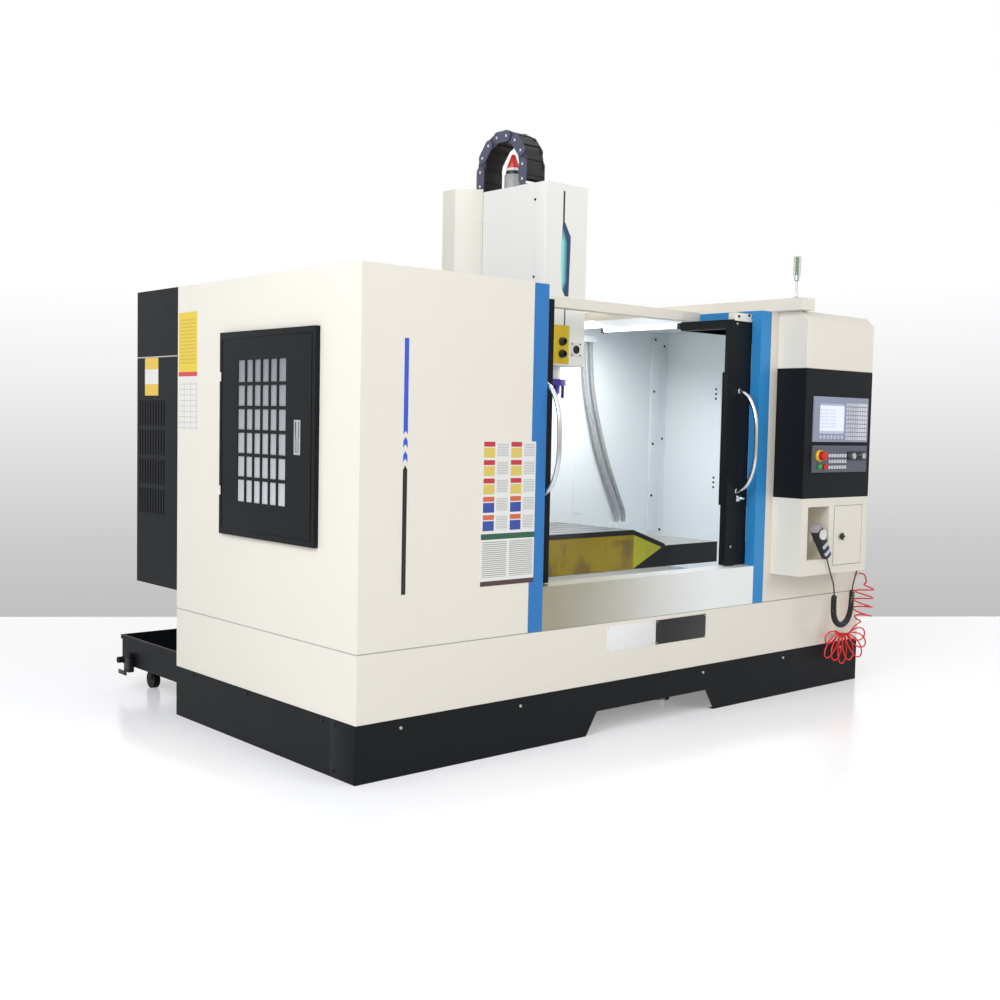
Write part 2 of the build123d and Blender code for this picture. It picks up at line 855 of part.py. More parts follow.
def saddle_tray():
    """Trough on each side of the saddle with a front wall, ends and stepped way covers."""
    front = saddle_front - sheet
    rear = saddle_rear + sheet
    top = tray_bottom + tray_height
    tray = block((-tray_half, tray_half), (front, saddle_front), (tray_bottom, top))
    tray += block((-tray_half, tray_half), (saddle_rear, rear), (tray_bottom, saddle_top))
    side = block((saddle_half, tray_half), (front, rear), (tray_bottom, tray_bottom + sheet))
    side += block((tray_half - sheet, tray_half), (front, rear), (tray_bottom, top))
    step = (tray_half - sheet - saddle_half) / cover_count
    for index in range(cover_count):
        across = (saddle_half + index * step, saddle_half + (index + 1) * step)
        height = saddle_top + rail_height - index * cover_step
        side += block(across, (saddle_front + cover_inset, saddle_rear - cover_inset), (tray_bottom + sheet, height))
    return tray + both_sides(side)


def table():
    """Table casting with T-slots, coolant gutters and shoes on the saddle's rails."""
    across = (table_left, table_right)
    top = block(across, (table_front, table_rear), (table_bottom, table_top))
    middle = table_front + table_width / 2
    for index in range(slot_count):
        y = middle + (index - (slot_count - 1) / 2) * slot_pitch
        neck = (table_top - slot_neck_depth, table_top)
        top -= block(across, (y - slot_neck / 2, y + slot_neck / 2), neck)
        base = (neck[0] - slot_base_depth, neck[0])
        top -= block(across, (y - slot_base / 2, y + slot_base / 2), base)
    for y in x_rail_places():
        for x in (table_centre_x - x_carriage_half, table_centre_x + x_carriage_half):
            low = (x - carriage_length / 2, x + carriage_length / 2)
            depth = (y - carriage_width / 2, y + carriage_width / 2)
            shoe = block(low, depth, (saddle_top + carriage_gap, table_bottom))
            groove = (y - rail_width / 2 - running, y + rail_width / 2 + running)
            shoe -= block(low, groove, (saddle_top, saddle_top + rail_height + running))
            top += shoe
    return top


def table_guard():
    """Apron in front of the table and a sloped wing at each end."""
    front = saddle_front - sheet - apron_gap - sheet
    guard = block((table_left, table_right), (front, front + sheet), (table_top - apron_drop, table_top))
    guard += block((table_left, table_right), (front, table_front), (table_bottom + 30, table_bottom + 50))
    low = table_top - wing_fall
    for end, way in ((table_right, 1), (table_left, -1)):
        slope = [(end, table_top - sheet), (end + way * wing_reach, low - sheet)]
        slope += [(end + way * wing_reach, low), (end, table_top)]
        guard += prism(slope, "y", front, table_rear)
        side = [(end, table_top - apron_drop), (end, table_top), (end + way * wing_reach, low)]
        guard += prism(side + [(end + way * wing_reach, low - sheet)], "y", front, front + sheet)
    return guard


# Head, spindle and chain

def head_casting():
    """Head on four shoes, with spindle housing, motor and the ring of coolant nozzles."""
    half = head_half - 2 * sheet
    top = head_bottom + casting_height
    casting = block((-half, half), (casting_front, cover_front), (head_bottom, top))
    plate_rear = cover_front + z_plate
    casting += block((-half, half), (cover_front, plate_rear), (head_bottom, top))
    for x in (-z_rail_half, z_rail_half):
        for z in (head_bottom + 20 + carriage_length / 2, top - 20 - carriage_length / 2):
            casting += upright_shoe(x, z, plate_rear)
    centre = (0, spindle_y, head_bottom - cartridge_drop)
    casting += rod("z", centre, cartridge_radius, cartridge_drop)
    casting += rod("z", (0, spindle_y, top), motor_radius, motor_height)
    casting += nozzle_ring()
    bore = spindle_radius * 0.6
    return casting - rod("z", centre, bore + shaft_play, cartridge_drop + casting_height / 2)


def upright_shoe(x, z, plate_rear):
    """Block that rides on a vertical rail."""
    width = carriage_width - 24
    up = (z - carriage_length / 2, z + carriage_length / 2)
    shoe = block((x - width / 2, x + width / 2), (plate_rear, column_front - carriage_gap), up)
    groove = (x - rail_width / 2 - running, x + rail_width / 2 + running)
    return shoe - block(groove, (column_front - rail_height - running, column_front), up)


def nozzle_ring():
    """Collar round the housing and short jointed nozzles below it."""
    z = head_bottom - cartridge_drop + 40
    collar = rod("z", (0, spindle_y, z), nozzle_ring_radius + 12, 32)
    for index in range(nozzle_count):
        angle = radians(30 + index * 360 / nozzle_count)
        x = nozzle_ring_radius * cos(angle)
        y = spindle_y + nozzle_ring_radius * sin(angle)
        collar += rod("z", (x, y, z - nozzle_length), nozzle_radius, nozzle_length)
    return collar


def spindle():
    """Rotating spindle: shaft, nose flange with drive keys, tapered mouth and drawbar bore."""
    low = nose_bottom
    shaft = rod("z", (0, spindle_y, low), spindle_radius, spindle_drop - running)
    length = spindle_drop + cartridge_drop + casting_height / 4
    shaft += rod("z", (0, spindle_y, low), spindle_radius * 0.6, length)
    mouth = Plane(origin=(0, spindle_y, low), z_dir=(0, 0, 1))
    taper = mouth * Cone(taper_mouth, spindle_bore, taper_length, align=(Align.CENTER, Align.CENTER, Align.MIN))
    shaft -= taper
    shaft -= rod("z", (0, spindle_y, low), spindle_bore, taper_length + 60)
    key = block((taper_mouth + 6, spindle_radius - 6), (spindle_y - 8, spindle_y + 8), (low - 8, low))
    return shaft + key + flip(key)


def head_cover():
    """Cover over the head, open behind and below, with the oil cup on its top."""
    shell = block((-head_half, head_half), (head_front, cover_front), (head_bottom, head_top))
    inner = (head_front + sheet, cover_front)
    shell -= block((-head_half + sheet, head_half - sheet), inner, (head_bottom, head_top - sheet))
    pad = chain_width / 2 + 4
    foot = (oil_cup_x, oil_cup_y, head_top)
    shell += rod("z", foot, 9, 140)
    cup = Plane(origin=(oil_cup_x, oil_cup_y, head_top + 135), z_dir=(0, 0, 1))
    shell += cup * Cone(26, 10, 80, align=(Align.CENTER, Align.CENTER, Align.MIN))
    seat = block((chain_x - pad, chain_x + pad), (front_leg() - 40, front_leg() + 40), (head_top, head_top + 2))
    return shell + seat


def chain_centre_y():
    """Middle of the chain's arch, so that its rear leg passes behind the head cover."""
    return cover_front + 7 + chain_link_height / 2 - chain_radius


def front_leg():
    """Place of the chain's front leg along Y."""
    return chain_centre_y() - chain_radius


def chain_pins():
    """Pin places in the Y-Z plane from the rear foot over the arch to the front foot."""
    pitch = 2 * chain_radius * sin(pi / chain_arch_links / 2)
    centre = chain_centre_y()
    level = head_top + 2 + chain_foot + chain_front_links * pitch
    rear = [(centre + chain_radius, level - (chain_rear_links - i) * pitch) for i in range(chain_rear_links)]
    arch = []
    for step in range(chain_arch_links + 1):
        angle = pi * step / chain_arch_links
        arch.append((centre + chain_radius * cos(angle), level + chain_radius * sin(angle)))
    front = [(centre - chain_radius, level - (i + 1) * pitch) for i in range(chain_front_links)]
    return rear + arch + front


def chain_link(start, end, inner):
    """Two rounded side plates, with a bar above and below on every link."""
    across = Vector(0, end[0] - start[0], end[1] - start[1])
    seat = Plane(origin=(0, start[0], start[1]), x_dir=across, z_dir=(1, 0, 0))
    radius = chain_link_height / 2
    shape = Pos(across.length / 2, 0) * SlotOverall(across.length + 2 * radius, 2 * radius)
    outside = chain_width / 2 - (chain_plate if inner else 0)
    plate = extrude(seat * shape, amount=chain_plate, dir=(1, 0, 0))
    link = Pos(chain_x + outside - chain_plate, 0, 0) * plate
    link += Pos(chain_x - outside, 0, 0) * plate
    for height in (radius - chain_plate, -radius):
        bar = Pos(across.length / 2, height + chain_plate / 2) * Rectangle(across.length * 0.45, chain_plate)
        solid = extrude(seat * bar, amount=2 * outside, dir=(1, 0, 0))
        link += Pos(chain_x - outside, 0, 0) * solid
    return link


def cable_chain():
    """Linked energy chain that arches from the column over to the head."""
    pins = chain_pins()
    chain = None
    for index in range(len(pins) - 1):
        link = chain_link(pins[index], pins[index + 1], index % 2 == 1)
        chain = link if chain is None else chain + link
    for y, z in pins:
        chain += rod("x", (chain_x - chain_width / 2 - 1.5, y, z), chain_pin, chain_width + 3)
    half = chain_width / 2
    low = pins[-1][1] - chain_foot
    y = pins[-1][0]
    chain += block((chain_x - half, chain_x + half), (y - 25, y + 25), (low, low + 5))
    chain += both_feet(y, low, pins[-1][1])
    y = pins[0][0]
    low = pins[0][1] - chain_foot
    chain += both_feet(y, low, pins[0][1])
    return chain + block((chain_x - half, chain_x + half), (y - 20, column_front), (low - 5, low))


def both_feet(y, low, high):
    """End plates below a leg's last pin."""
    half = chain_width / 2
    feet = block((chain_x - half, chain_x - half + chain_plate), (y - 20, y + 20), (low, high))
    return feet + block((chain_x + half - chain_plate, chain_x + half), (y - 20, y + 20), (low, high))


# Pendant

def pendant_x(offset):
    """Place along the pendant from its left side."""
    return pendant_left + offset


def top_box():
    """Box under the duct, its front upper edge sloped."""
    outline = [(0, housing_top), (-pendant_depth, housing_top), (-pendant_depth, roof_level - pendant_chamfer)]
    outline += [(-pendant_depth + pendant_chamfer, roof_level), (0, roof_level)]
    return prism(outline, "x", pendant_left, pendant_right)


def recess(left, width, bottom, height):
    """Seat for a panel in the pendant's face."""
    across = (pendant_x(left), pendant_x(left + width))
    return block(across, (-pendant_depth, -pendant_depth + recess_depth), (bottom, bottom + height))


def control_housing():
    """Dark housing with seats for the display unit and the operator panel."""
    body = block((pendant_left, pendant_right), (-pendant_depth, 0), (housing_bottom, housing_top))
    body -= recess(unit_left, unit_width, unit_bottom, unit_height)
    return body - recess(panel_left, panel_width, panel_bottom, panel_height)


def plate_in(left, width, bottom, height):
    """Panel that fills its seat and stands proud by the bezel."""
    across = (pendant_x(left), pendant_x(left + width))
    return block(across, (-pendant_depth - bezel, -pendant_depth + recess_depth), (bottom, bottom + height))


def key_grid(left, bottom, columns, rows, pitch, size, height):
    """Rows of square keys on the pendant's face."""
    face = -pendant_depth - bezel
    keys = []
    for column in range(columns):
        for row in range(rows):
            x = pendant_x(left) + column * pitch
            z = bottom + row * height
            keys.append(block((x, x + size), (face - key_rise, face), (z, z + size)))
    return keys


def cnc_unit():
    """Display unit: sunk screen, data keys and a row of soft keys."""
    unit = plate_in(unit_left, unit_width, unit_bottom, unit_height)
    face = -pendant_depth - bezel
    across = (pendant_x(screen_left), pendant_x(screen_left + screen_width))
    unit -= block(across, (face, face + 4), (screen_bottom, screen_bottom + screen_height))
    unit += key_grid(keys_left, keys_bottom, key_columns, key_rows, key_pitch, key_size, key_pitch)
    soft_pitch = screen_width / soft_key_count
    return unit + key_grid(screen_left, screen_bottom - 27, soft_key_count, 1, soft_pitch, key_size, key_pitch)


def stem_hole(place, radius):
    """Bore for a button's or knob's stem."""
    x, z = pendant_x(place[0]), place[1]
    face = -pendant_depth - bezel
    return rod("y", (x, face - knob_block_rise, z), radius + shaft_play, stem_length + 2 * button_travel)


def operator_panel():
    """Panel with key rows, collars for the buttons and a raised block for the knobs."""
    panel = plate_in(panel_left, panel_width, panel_bottom, panel_height)
    face = -pendant_depth - bezel
    across = (pendant_x(knob_block_left), pendant_x(knob_block_left + knob_block_width))
    level = knob_places[0][1] - knob_block_height / 2
    panel += block(across, (face - knob_block_rise, face), (level, level + knob_block_height))
    keys = key_grid(panel_left + 138, panel_bottom + 18, panel_key_columns, panel_key_rows, 24, key_size, 30)
    panel += keys
    panel -= stem_hole(estop_place, button_radius)
    for place in (start_place, stop_place):
        panel -= stem_hole(place, button_radius)
    for place in knob_places:
        panel -= stem_hole(place, stem_radius)
    return panel


def push_button(place, head_radius, rise):
    """Head on a stem that slides into the panel."""
    x, z = pendant_x(place[0]), place[1]
    face = -pendant_depth - bezel
    gap = button_travel + 0.5
    head = rod("y", (x, face - rise, z), head_radius, rise - gap)
    return head + rod("y", (x, face - gap, z), button_radius, gap + stem_length - button_travel)


def estop_button():
    """Mushroom head with a domed edge."""
    head = push_button(estop_place, estop_head_radius, estop_reach)
    front = head.edges().filter_by(GeomType.CIRCLE).sort_by(Axis.Y)[0]
    return fillet(front, 8)


def turn_knob(place):
    """Knob with a grip rib and a stem that turns in the panel."""
    x, z = pendant_x(place[0]), place[1]
    base = -pendant_depth - bezel - knob_block_rise
    knob = rod("y", (x, base - running - knob_height, z), knob_radius, knob_height)
    grip = block((x - 3, x + 3), (base - knob_height - 6, base - knob_height), (z - knob_radius + 3, z + knob_radius - 3))
    return knob + grip + rod("y", (x, base - running, z), stem_radius, stem_length)


def locker_space():
    """Opening of the locker in the base box."""
    across = (pendant_x(locker_left), pendant_x(locker_left + locker_width))
    return across, (locker_bottom, locker_bottom + locker_height)


def locker_axis():
    """Place of the locker door's hinge line."""
    across, _ = locker_space()
    middle = locker_door_thickness / 2
    return across[1] - locker_clearance - middle, -pendant_depth + middle


def handset_middle():
    """Centre of the handset."""
    x, z = pendant_x(handset_place[0]), handset_place[1]
    return x, -pendant_depth - handset_stand_out + handset_depth / 2, z


def base_box():
    """Pendant base with a niche, a locker, the handset's peg and the cord's gland."""
    body = block((pendant_left, pendant_right), (-pendant_depth, 0), (pendant_bottom, housing_bottom))
    niche = (pendant_x(niche_left), pendant_x(niche_left + niche_width))
    front = -pendant_depth
    body -= block(niche, (front, front + niche_depth), (niche_bottom, niche_bottom + niche_height))
    across, up = locker_space()
    body -= block(across, (front, front + locker_door_thickness + 2), up)
    lip = locker_lip
    inner = (across[0] + lip, across[1] - lip), (front, front + locker_depth), (up[0] + lip, up[1] - lip)
    body -= block(*inner)
    x, y = locker_axis()
    body += rod("z", (x, y, up[0]), locker_pin, pin_length)
    body += rod("z", (x, y, up[1] - pin_length), locker_pin, pin_length)
    hx, hy, hz = handset_middle()
    peg = (hx - handset_peg / 2, hx + handset_peg / 2)
    depth = (hy + handset_depth / 2, front + niche_depth)
    body += block(peg, depth, (hz - handset_peg / 2, hz + handset_peg / 2))
    gland = (pendant_right, pendant_right + 2 * cord_side)
    middle = tail_y()
    return body + block(gland, (middle - cord_side, middle + cord_side), (gland_bottom, gland_bottom + gland_height))


def tail_y():
    """Depth at which the handset's cord rises beside the base box."""
    return -pendant_depth + 55


def locker_door():
    """Inset leaf that turns on two pins at its right edge."""
    across, up = locker_space()
    x, y = locker_axis()
    radius = locker_door_thickness / 2
    level = (up[0] + running, up[1] - running)
    leaf = block((across[0] + locker_clearance, x), (y - radius, y + radius), level)
    leaf += rod("z", (x, y, level[0]), radius, level[1] - level[0])
    leaf -= rod("z", (x, y, up[0]), locker_pin + hinge_play, pin_length + 2)
    leaf -= rod("z", (x, y, up[1] - pin_length - 2), locker_pin + hinge_play, pin_length + 2)
    kx, kz = pendant_x(locker_knob_place[0]), locker_knob_place[1]
    return leaf - rod("y", (kx, -pendant_depth, kz), stem_radius + shaft_play, locker_door_thickness)


def locker_knob():
    """Round knob with a bar grip on the locker door."""
    x, z = pendant_x(locker_knob_place[0]), locker_knob_place[1]
    front = -pendant_depth
    knob = rod("y", (x, front - running - 8, z), locker_knob_radius, 8)
    knob += block((x - 3, x + 3), (front - 16, front - 4), (z - locker_knob_radius + 2, z + locker_knob_radius - 2))
    return knob + rod("y", (x, front - running, z), stem_radius, locker_door_thickness - 2)


# Handset and its cord

def handset():
    """Hand wheel unit: rounded waisted body, dial seat and strain relief."""
    hx, hy, hz = handset_middle()
    half_length = handset_length / 2
    half = handset_width / 2
    with BuildSketch() as outline:
        with BuildLine():
            Polyline((-half * 0.72, -half_length), (half * 0.72, -half_length), (half, -half_length * 0.35),
                     (half, half_length), (-half, half_length), (-half, -half_length * 0.35), close=True)
        make_face()
        fillet(outline.vertices(), 12)
    seat = Plane(origin=(hx, hy + handset_depth / 2, hz), x_dir=(1, 0, 0), z_dir=(0, -1, 0))
    body = extrude(outline.sketch, amount=handset_depth)
    dial_level = half_length * 0.3
    body -= Pos(0, dial_level, handset_depth - 14) * Cylinder(stem_radius + shaft_play, 28)
    end = Rot(90, 0, 0) * Cylinder(relief_radius, relief_length, align=(Align.CENTER, Align.CENTER, Align.MIN))
    body += Pos(0, -half_length, handset_depth / 2) * end
    for x in (-20, 0, 20):
        body += Pos(x, half_length * 0.78, handset_depth) * Box(10, 14, 2 * key_rise)
    return seat * Rot(0, 0, handset_tilt) * body


def handset_dial():
    """Hand wheel with a small crank on the handset's face."""
    hx, hy, hz = handset_middle()
    seat = Plane(origin=(hx, hy + handset_depth / 2, hz), x_dir=(1, 0, 0), z_dir=(0, -1, 0))
    level = handset_length / 2 * 0.3
    base = (Align.CENTER, Align.CENTER, Align.MIN)
    wheel = Pos(0, level, handset_depth + running) * Cylinder(handset_dial_radius, handset_dial_height, align=base)
    wheel += Pos(0, level, handset_depth - 20) * Cylinder(stem_radius, 20 + running, align=base)
    crank = Pos(0, level + handset_dial_radius * 0.6, handset_depth + running + handset_dial_height)
    wheel += crank * Cylinder(4, handset_crank, align=base)
    return seat * Rot(0, 0, handset_tilt) * wheel


def relief_end():
    """Face of the strain relief where the cord starts, and the way it points."""
    hx, hy, hz = handset_middle()
    angle = radians(handset_tilt)
    reach = handset_length / 2 + relief_length
    return (hx + reach * sin(angle), hy, hz - reach * cos(angle)), (sin(angle), 0, -cos(angle))


def curl_points():
    """Hanging U of the curled cord."""
    points = [(1183, 540), (1193, 452), (1238, 386), (1314, 360), (1389, 384), (1437, 452), (1455, 540)]
    start = handset_middle()[1]
    end = tail_y()
    count = len(points) - 1
    return [(x, start + (end - start) * index / count, z) for index, (x, z) in enumerate(points)]


def lead_points():
    """Straight cord from the handset down to the curl."""
    (x, y, z), (dx, dy, dz) = relief_end()
    first, second = (Vector(*point) for point in curl_points()[:2])
    last = first - (second - first).normalized() * 48
    return [(x, y, z), (x + 26 * dx, y, z + 26 * dz), (1137, y, 664), (1158, y, 625), tuple(last), tuple(first)]


def tail_points():
    """Straight cord from the curl up to the gland on the base box's side."""
    before, start = (Vector(*point) for point in curl_points()[-2:])
    second = start + (start - before).normalized() * 40
    x = pendant_right + cord_side
    y = tail_y()
    return [tuple(start), tuple(second), (x - 3, y, 636), (x - 2, y, 690), (x, y, 744), (x, y, gland_bottom)]


def air_coil():
    """Hank of red air hose hanging on the wall fitting, as one ring."""
    middle = (hose_boss_x + coil_offset, -hose_boss_reach, hose_boss_level - coil_drop)
    seat = Plane(origin=middle, x_dir=(1, 0, 0), z_dir=(0, -1, 0))
    outline = Ellipse(coil_half_width, coil_half_height) - Ellipse(coil_half_width * coil_hole, coil_half_height * coil_hole)
    return extrude(seat * outline, amount=coil_thickness)


def air_riser():
    """Loose loops of the hose from the hank up to the upper fitting, as one thick stem and a thin end."""
    x, z = riser_boss_x, riser_boss_level
    y = -hose_boss_reach - riser_radius - riser_stand_off
    stem = [(x - 65, y, z - 258), (x - 52, y, z - 180), (x - 36, y, z - 110), (x - 26, y, z - 50)]
    end = [(x - 26, y, z - 60), (x - 16, y, z - 22), (x, y / 2, z), (x, -hose_boss_reach - running, z)]
    return tube_along(stem, riser_radius, "air hose loops") + tube_along(end, air_hose_radius, "air hose end")


# Electrical cabinet, coolant tank and signal tower

def cabinet_axis():
    """Place of the cabinet door's hinge line."""
    half = cabinet_door_thickness / 2
    return -half_width + cabinet_width - half, cabinet_rear - half


def cabinet_levels():
    """Lower ends of the cabinet door's knuckles."""
    inset = hinge_from_end
    return cabinet_bottom + inset, cabinet_top - inset - knuckle


def electrical_cabinet():
    """Folded cabinet on the rear wall, open behind, with louvre slots in its left side."""
    across = (-half_width, -half_width + cabinet_width)
    rear = cabinet_rear - cabinet_door_thickness - window_seat
    body = block(across, (cabinet_front, rear), (cabinet_bottom, cabinet_top))
    hollow = (across[0] + sheet, across[1] - sheet), (cabinet_front + sheet, rear)
    body -= block(*hollow, (cabinet_bottom + sheet, cabinet_top - sheet))
    for column in range(louvre_columns):
        y = cabinet_front + louvre_front + column * louvre_pitch
        for row in range(louvre_rows):
            z = louvre_bottom + row * louvre_row_pitch
            body -= block((across[0], across[0] + sheet), (y, y + louvre_width), (z, z + louvre_height))
    body += block((across[0] + sheet, across[1] - sheet), (cabinet_front + sheet, cabinet_front + 40), (900, 1700))
    x, y = cabinet_axis()
    radius = cabinet_door_thickness / 2
    for level in cabinet_levels():
        body += rod("z", (x, y, level), radius, knuckle)
        body += block((x - radius, x + radius), (rear, y), (level, level + knuckle))
        body += block((across[1] - sheet - 20, across[1]), (rear - 10, rear), (level, level + knuckle))
        body += rod("z", (x, y, level - pin_length), cabinet_pin, knuckle + 2 * pin_length)
    return body


def cabinet_door():
    """Overlay leaf with a rounded hinge edge, a bow handle and a small lock."""
    x, y = cabinet_axis()
    radius = cabinet_door_thickness / 2
    left = -half_width
    leaf = block((left, x), (y - radius, y + radius), (cabinet_bottom, cabinet_top))
    leaf += rod("z", (x, y, cabinet_bottom), radius, cabinet_top - cabinet_bottom)
    for level in cabinet_levels():
        space = (level - knuckle_gap, level + knuckle + knuckle_gap)
        leaf -= block((x - 1.3 * radius, x + radius), (y - radius, y + radius), space)
        hole = knuckle + 2 * pin_length + 4
        leaf -= rod("z", (x, y, level - pin_length - 2), cabinet_pin + hinge_play, hole)
    hx = left + 60
    low = cabinet_handle_bottom
    high = low + cabinet_handle_height
    leaf += block((hx - 8, hx + 8), (cabinet_rear + 22, cabinet_rear + 32), (low, high))
    for z in (low, high - 14):
        leaf += block((hx - 8, hx + 8), (cabinet_rear, cabinet_rear + 32), (z, z + 14))
    return leaf + rod("y", (hx, cabinet_rear, low - 434), 16, 14)


def coolant_tank():
    """Low open tank with a rolled rim, a weir, four casters and a drain union."""
    left = -half_width + tank_inset
    across = (left, left + tank_width)
    depth = (tank_front, tank_rear)
    top = tank_bottom + tank_height
    body = block(across, depth, (tank_bottom, top))
    wall = tank_wall
    inner = (across[0] + wall, across[1] - wall), (depth[0] + wall, depth[1] - wall)
    body -= block(*inner, (tank_bottom + wall, top))
    rim = block((across[0] - 8, across[1] + 8), depth, (top - tank_rim, top))
    body += rim - block(*inner, (tank_bottom + wall, top))
    weir = left + tank_width * 0.35
    body += block((weir, weir + wall), inner[1], (tank_bottom, top - 40))
    for x in (across[0] + 120, across[1] - 120):
        for y in (depth[0] + 110, depth[1] - 110):
            body += rod("x", (x - caster_width / 2, y, caster_radius), caster_radius, caster_width)
            fork = (x - caster_width / 2 - 5, x + caster_width / 2 + 5)
            body += block(fork, (y - 22, y + 22), (caster_radius, tank_bottom))
    return body + rod("x", (across[0] - 52, depth[1] - 60, tank_bottom + 30), drain_radius, 52)


def signal_tower():
    """Slim pole with a foot disc and one cylindrical lamp."""
    x = duct_left + duct_width / 2
    y = -pendant_depth + tower_from_front
    lamp_base = duct_top + tower_pole_height
    profile = [(0, duct_top), (24, duct_top), (24, duct_top + 10), (tower_pole_radius, duct_top + 14)]
    profile += [(tower_pole_radius, lamp_base), (lamp_radius, lamp_base), (lamp_radius, lamp_base + lamp_height - 8)]
    profile += [(lamp_radius - 8, lamp_base + lamp_height), (0, lamp_base + lamp_height)]
    face = make_face(Polyline(*[(radius, 0, z) for radius, z in profile], close=True))
    return Pos(x, y, 0) * revolve(face, axis=Axis.Z)


# Assembly

cabin = right_cabin()
static_pieces = {
    "bed": bed(), "levelling_feet": levelling_feet(), "column": column(), "guide_rails": guide_rails(),
    "column_cover": column_cover(), "base_skirt": base_skirt(), "lower_guard": lower_guard(),
    "left_cabin": flip(cabin), "right_cabin": right_cabin_with_boss(),
    "left_stile": flip(right_stile()), "right_stile": right_stile(),
    "front_sill": front_sill(), "header_beam": header_beam(), "back_wall": back_wall(),
    "cable_duct": cable_duct(), "work_light": work_light(), "electrical_cabinet": electrical_cabinet(),
    "coolant_tank": coolant_tank(), "pendant_top_box": top_box(), "control_housing": control_housing(),
    "cnc_unit": cnc_unit(), "operator_panel": operator_panel(), "pendant_base_box": base_box(),
    "signal_tower": signal_tower(), "pulse_handset": handset(),
}
hose_pieces = {
    "handset_lead": tube_along(lead_points(), lead_radius, "handset lead"),
    "handset_curl": tube_along(curl_points(), curl_radius, "handset curl"),
    "handset_tail": tube_along(tail_points(), lead_radius, "handset tail"),
    "air_hose_coil": air_coil(),
    "air_hose_riser": air_riser(),
    "flush_hoses": together([flush_hose(0), flush_hose(1)]),
}
moving_pieces = {
    "cabinet_door": cabinet_door(), "locker_door": locker_door(), "locker_knob": locker_knob(),
    "estop_button": estop_button(), "start_button": push_button(start_place, 14, 14),
    "stop_button": push_button(stop_place, 14, 14), "feed_knob": turn_knob(knob_places[0]),
    "speed_knob": turn_knob(knob_places[1]), "handset_dial": handset_dial(),
    "left_door": sliding_door(-1, left_open), "left_door_pane": sliding_pane(-1, left_open),
    "left_door_handle": bow_handle(-1, left_open, False), "right_door": sliding_door(1, right_open),
    "right_door_pane": sliding_pane(1, right_open), "right_door_handle": bow_handle(1, right_open, True),
    "left_side_door": flip(side_window()), "left_side_pane": flip(side_pane()),
    "left_side_handle": flip(flush_handle()), "right_side_door": side_window(),
    "right_side_pane": side_pane(), "right_side_handle": flush_handle(), "saddle": saddle(),
    "saddle_tray": saddle_tray(), "table": table(), "table_guard": table_guard(),
    "head_casting": head_casting(), "head_cover": head_cover(), "spindle": spindle(),
    "cable_chain": cable_chain(),
}
for name, piece in {**static_pieces, **hose_pieces, **moving_pieces}.items():
    save(name, piece)
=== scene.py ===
import json
from math import cos, pi, radians, sin, sqrt, tau

import bmesh
import bpy
from mathutils import Matrix, Vector

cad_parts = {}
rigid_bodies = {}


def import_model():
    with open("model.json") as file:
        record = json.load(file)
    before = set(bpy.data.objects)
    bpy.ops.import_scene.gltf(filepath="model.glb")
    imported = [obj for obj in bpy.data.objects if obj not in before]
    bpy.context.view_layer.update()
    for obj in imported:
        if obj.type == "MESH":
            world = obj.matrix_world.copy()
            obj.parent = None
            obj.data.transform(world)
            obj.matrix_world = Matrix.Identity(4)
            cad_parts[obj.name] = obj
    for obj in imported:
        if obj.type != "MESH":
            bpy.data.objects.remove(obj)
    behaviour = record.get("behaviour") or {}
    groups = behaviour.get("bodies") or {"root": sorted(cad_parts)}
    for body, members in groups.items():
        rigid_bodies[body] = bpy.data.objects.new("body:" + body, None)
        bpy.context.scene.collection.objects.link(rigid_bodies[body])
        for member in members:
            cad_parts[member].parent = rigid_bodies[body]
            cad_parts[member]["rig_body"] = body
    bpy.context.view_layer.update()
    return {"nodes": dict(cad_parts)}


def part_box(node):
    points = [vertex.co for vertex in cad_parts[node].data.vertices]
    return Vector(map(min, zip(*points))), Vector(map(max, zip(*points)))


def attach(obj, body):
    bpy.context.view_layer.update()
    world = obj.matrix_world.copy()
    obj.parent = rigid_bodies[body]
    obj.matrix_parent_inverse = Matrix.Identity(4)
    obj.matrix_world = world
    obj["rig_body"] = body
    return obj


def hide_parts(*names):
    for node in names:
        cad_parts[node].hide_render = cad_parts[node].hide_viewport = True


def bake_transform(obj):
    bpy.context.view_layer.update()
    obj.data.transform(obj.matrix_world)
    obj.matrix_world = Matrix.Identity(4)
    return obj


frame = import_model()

bpy.context.scene.view_settings.view_transform = "Standard"


# Camera at the photographer's place, a little below eye level and left of the machine's front corner.
# It is turned and tilted by hand, so it also leans by about one degree.
def placed(name, data):
    """A new object in the scene for a mesh, a curve, a lamp or the camera."""
    piece = bpy.data.objects.new(name, data)
    bpy.context.scene.collection.objects.link(piece)
    return piece


eye = Vector((-4.43, -4.83885, 1.407))
turn, dip, lean = radians(41.56), radians(3.58), radians(1.18)
ahead = Vector((sin(turn) * cos(dip), cos(turn) * cos(dip), -sin(dip)))
level = Vector((cos(turn), -sin(turn), 0))
upright = level.cross(ahead)
across = level * cos(lean) + upright * sin(lean)
above = upright * cos(lean) - level * sin(lean)
lens = bpy.data.cameras.new("camera")
lens.lens = 44.777
lens.sensor_width = 36
camera = placed("camera", lens)
camera.matrix_world = Matrix.Translation(eye) @ Matrix((across, above, -ahead)).transposed().to_4x4()
bpy.context.scene.camera = camera


# Handset cord: a straight lead, a curled middle that hangs as a U and a straight tail into the gland.
# Black polyurethane jacket, the curl wound tight on a mandrel and set by heat.
def sign(operation, swapped=False):
    """A plain sign for wires; swapped where the number stands before it."""
    return lambda one, two: one.maths(operation, two, one) if swapped else one.maths(operation, one, two)


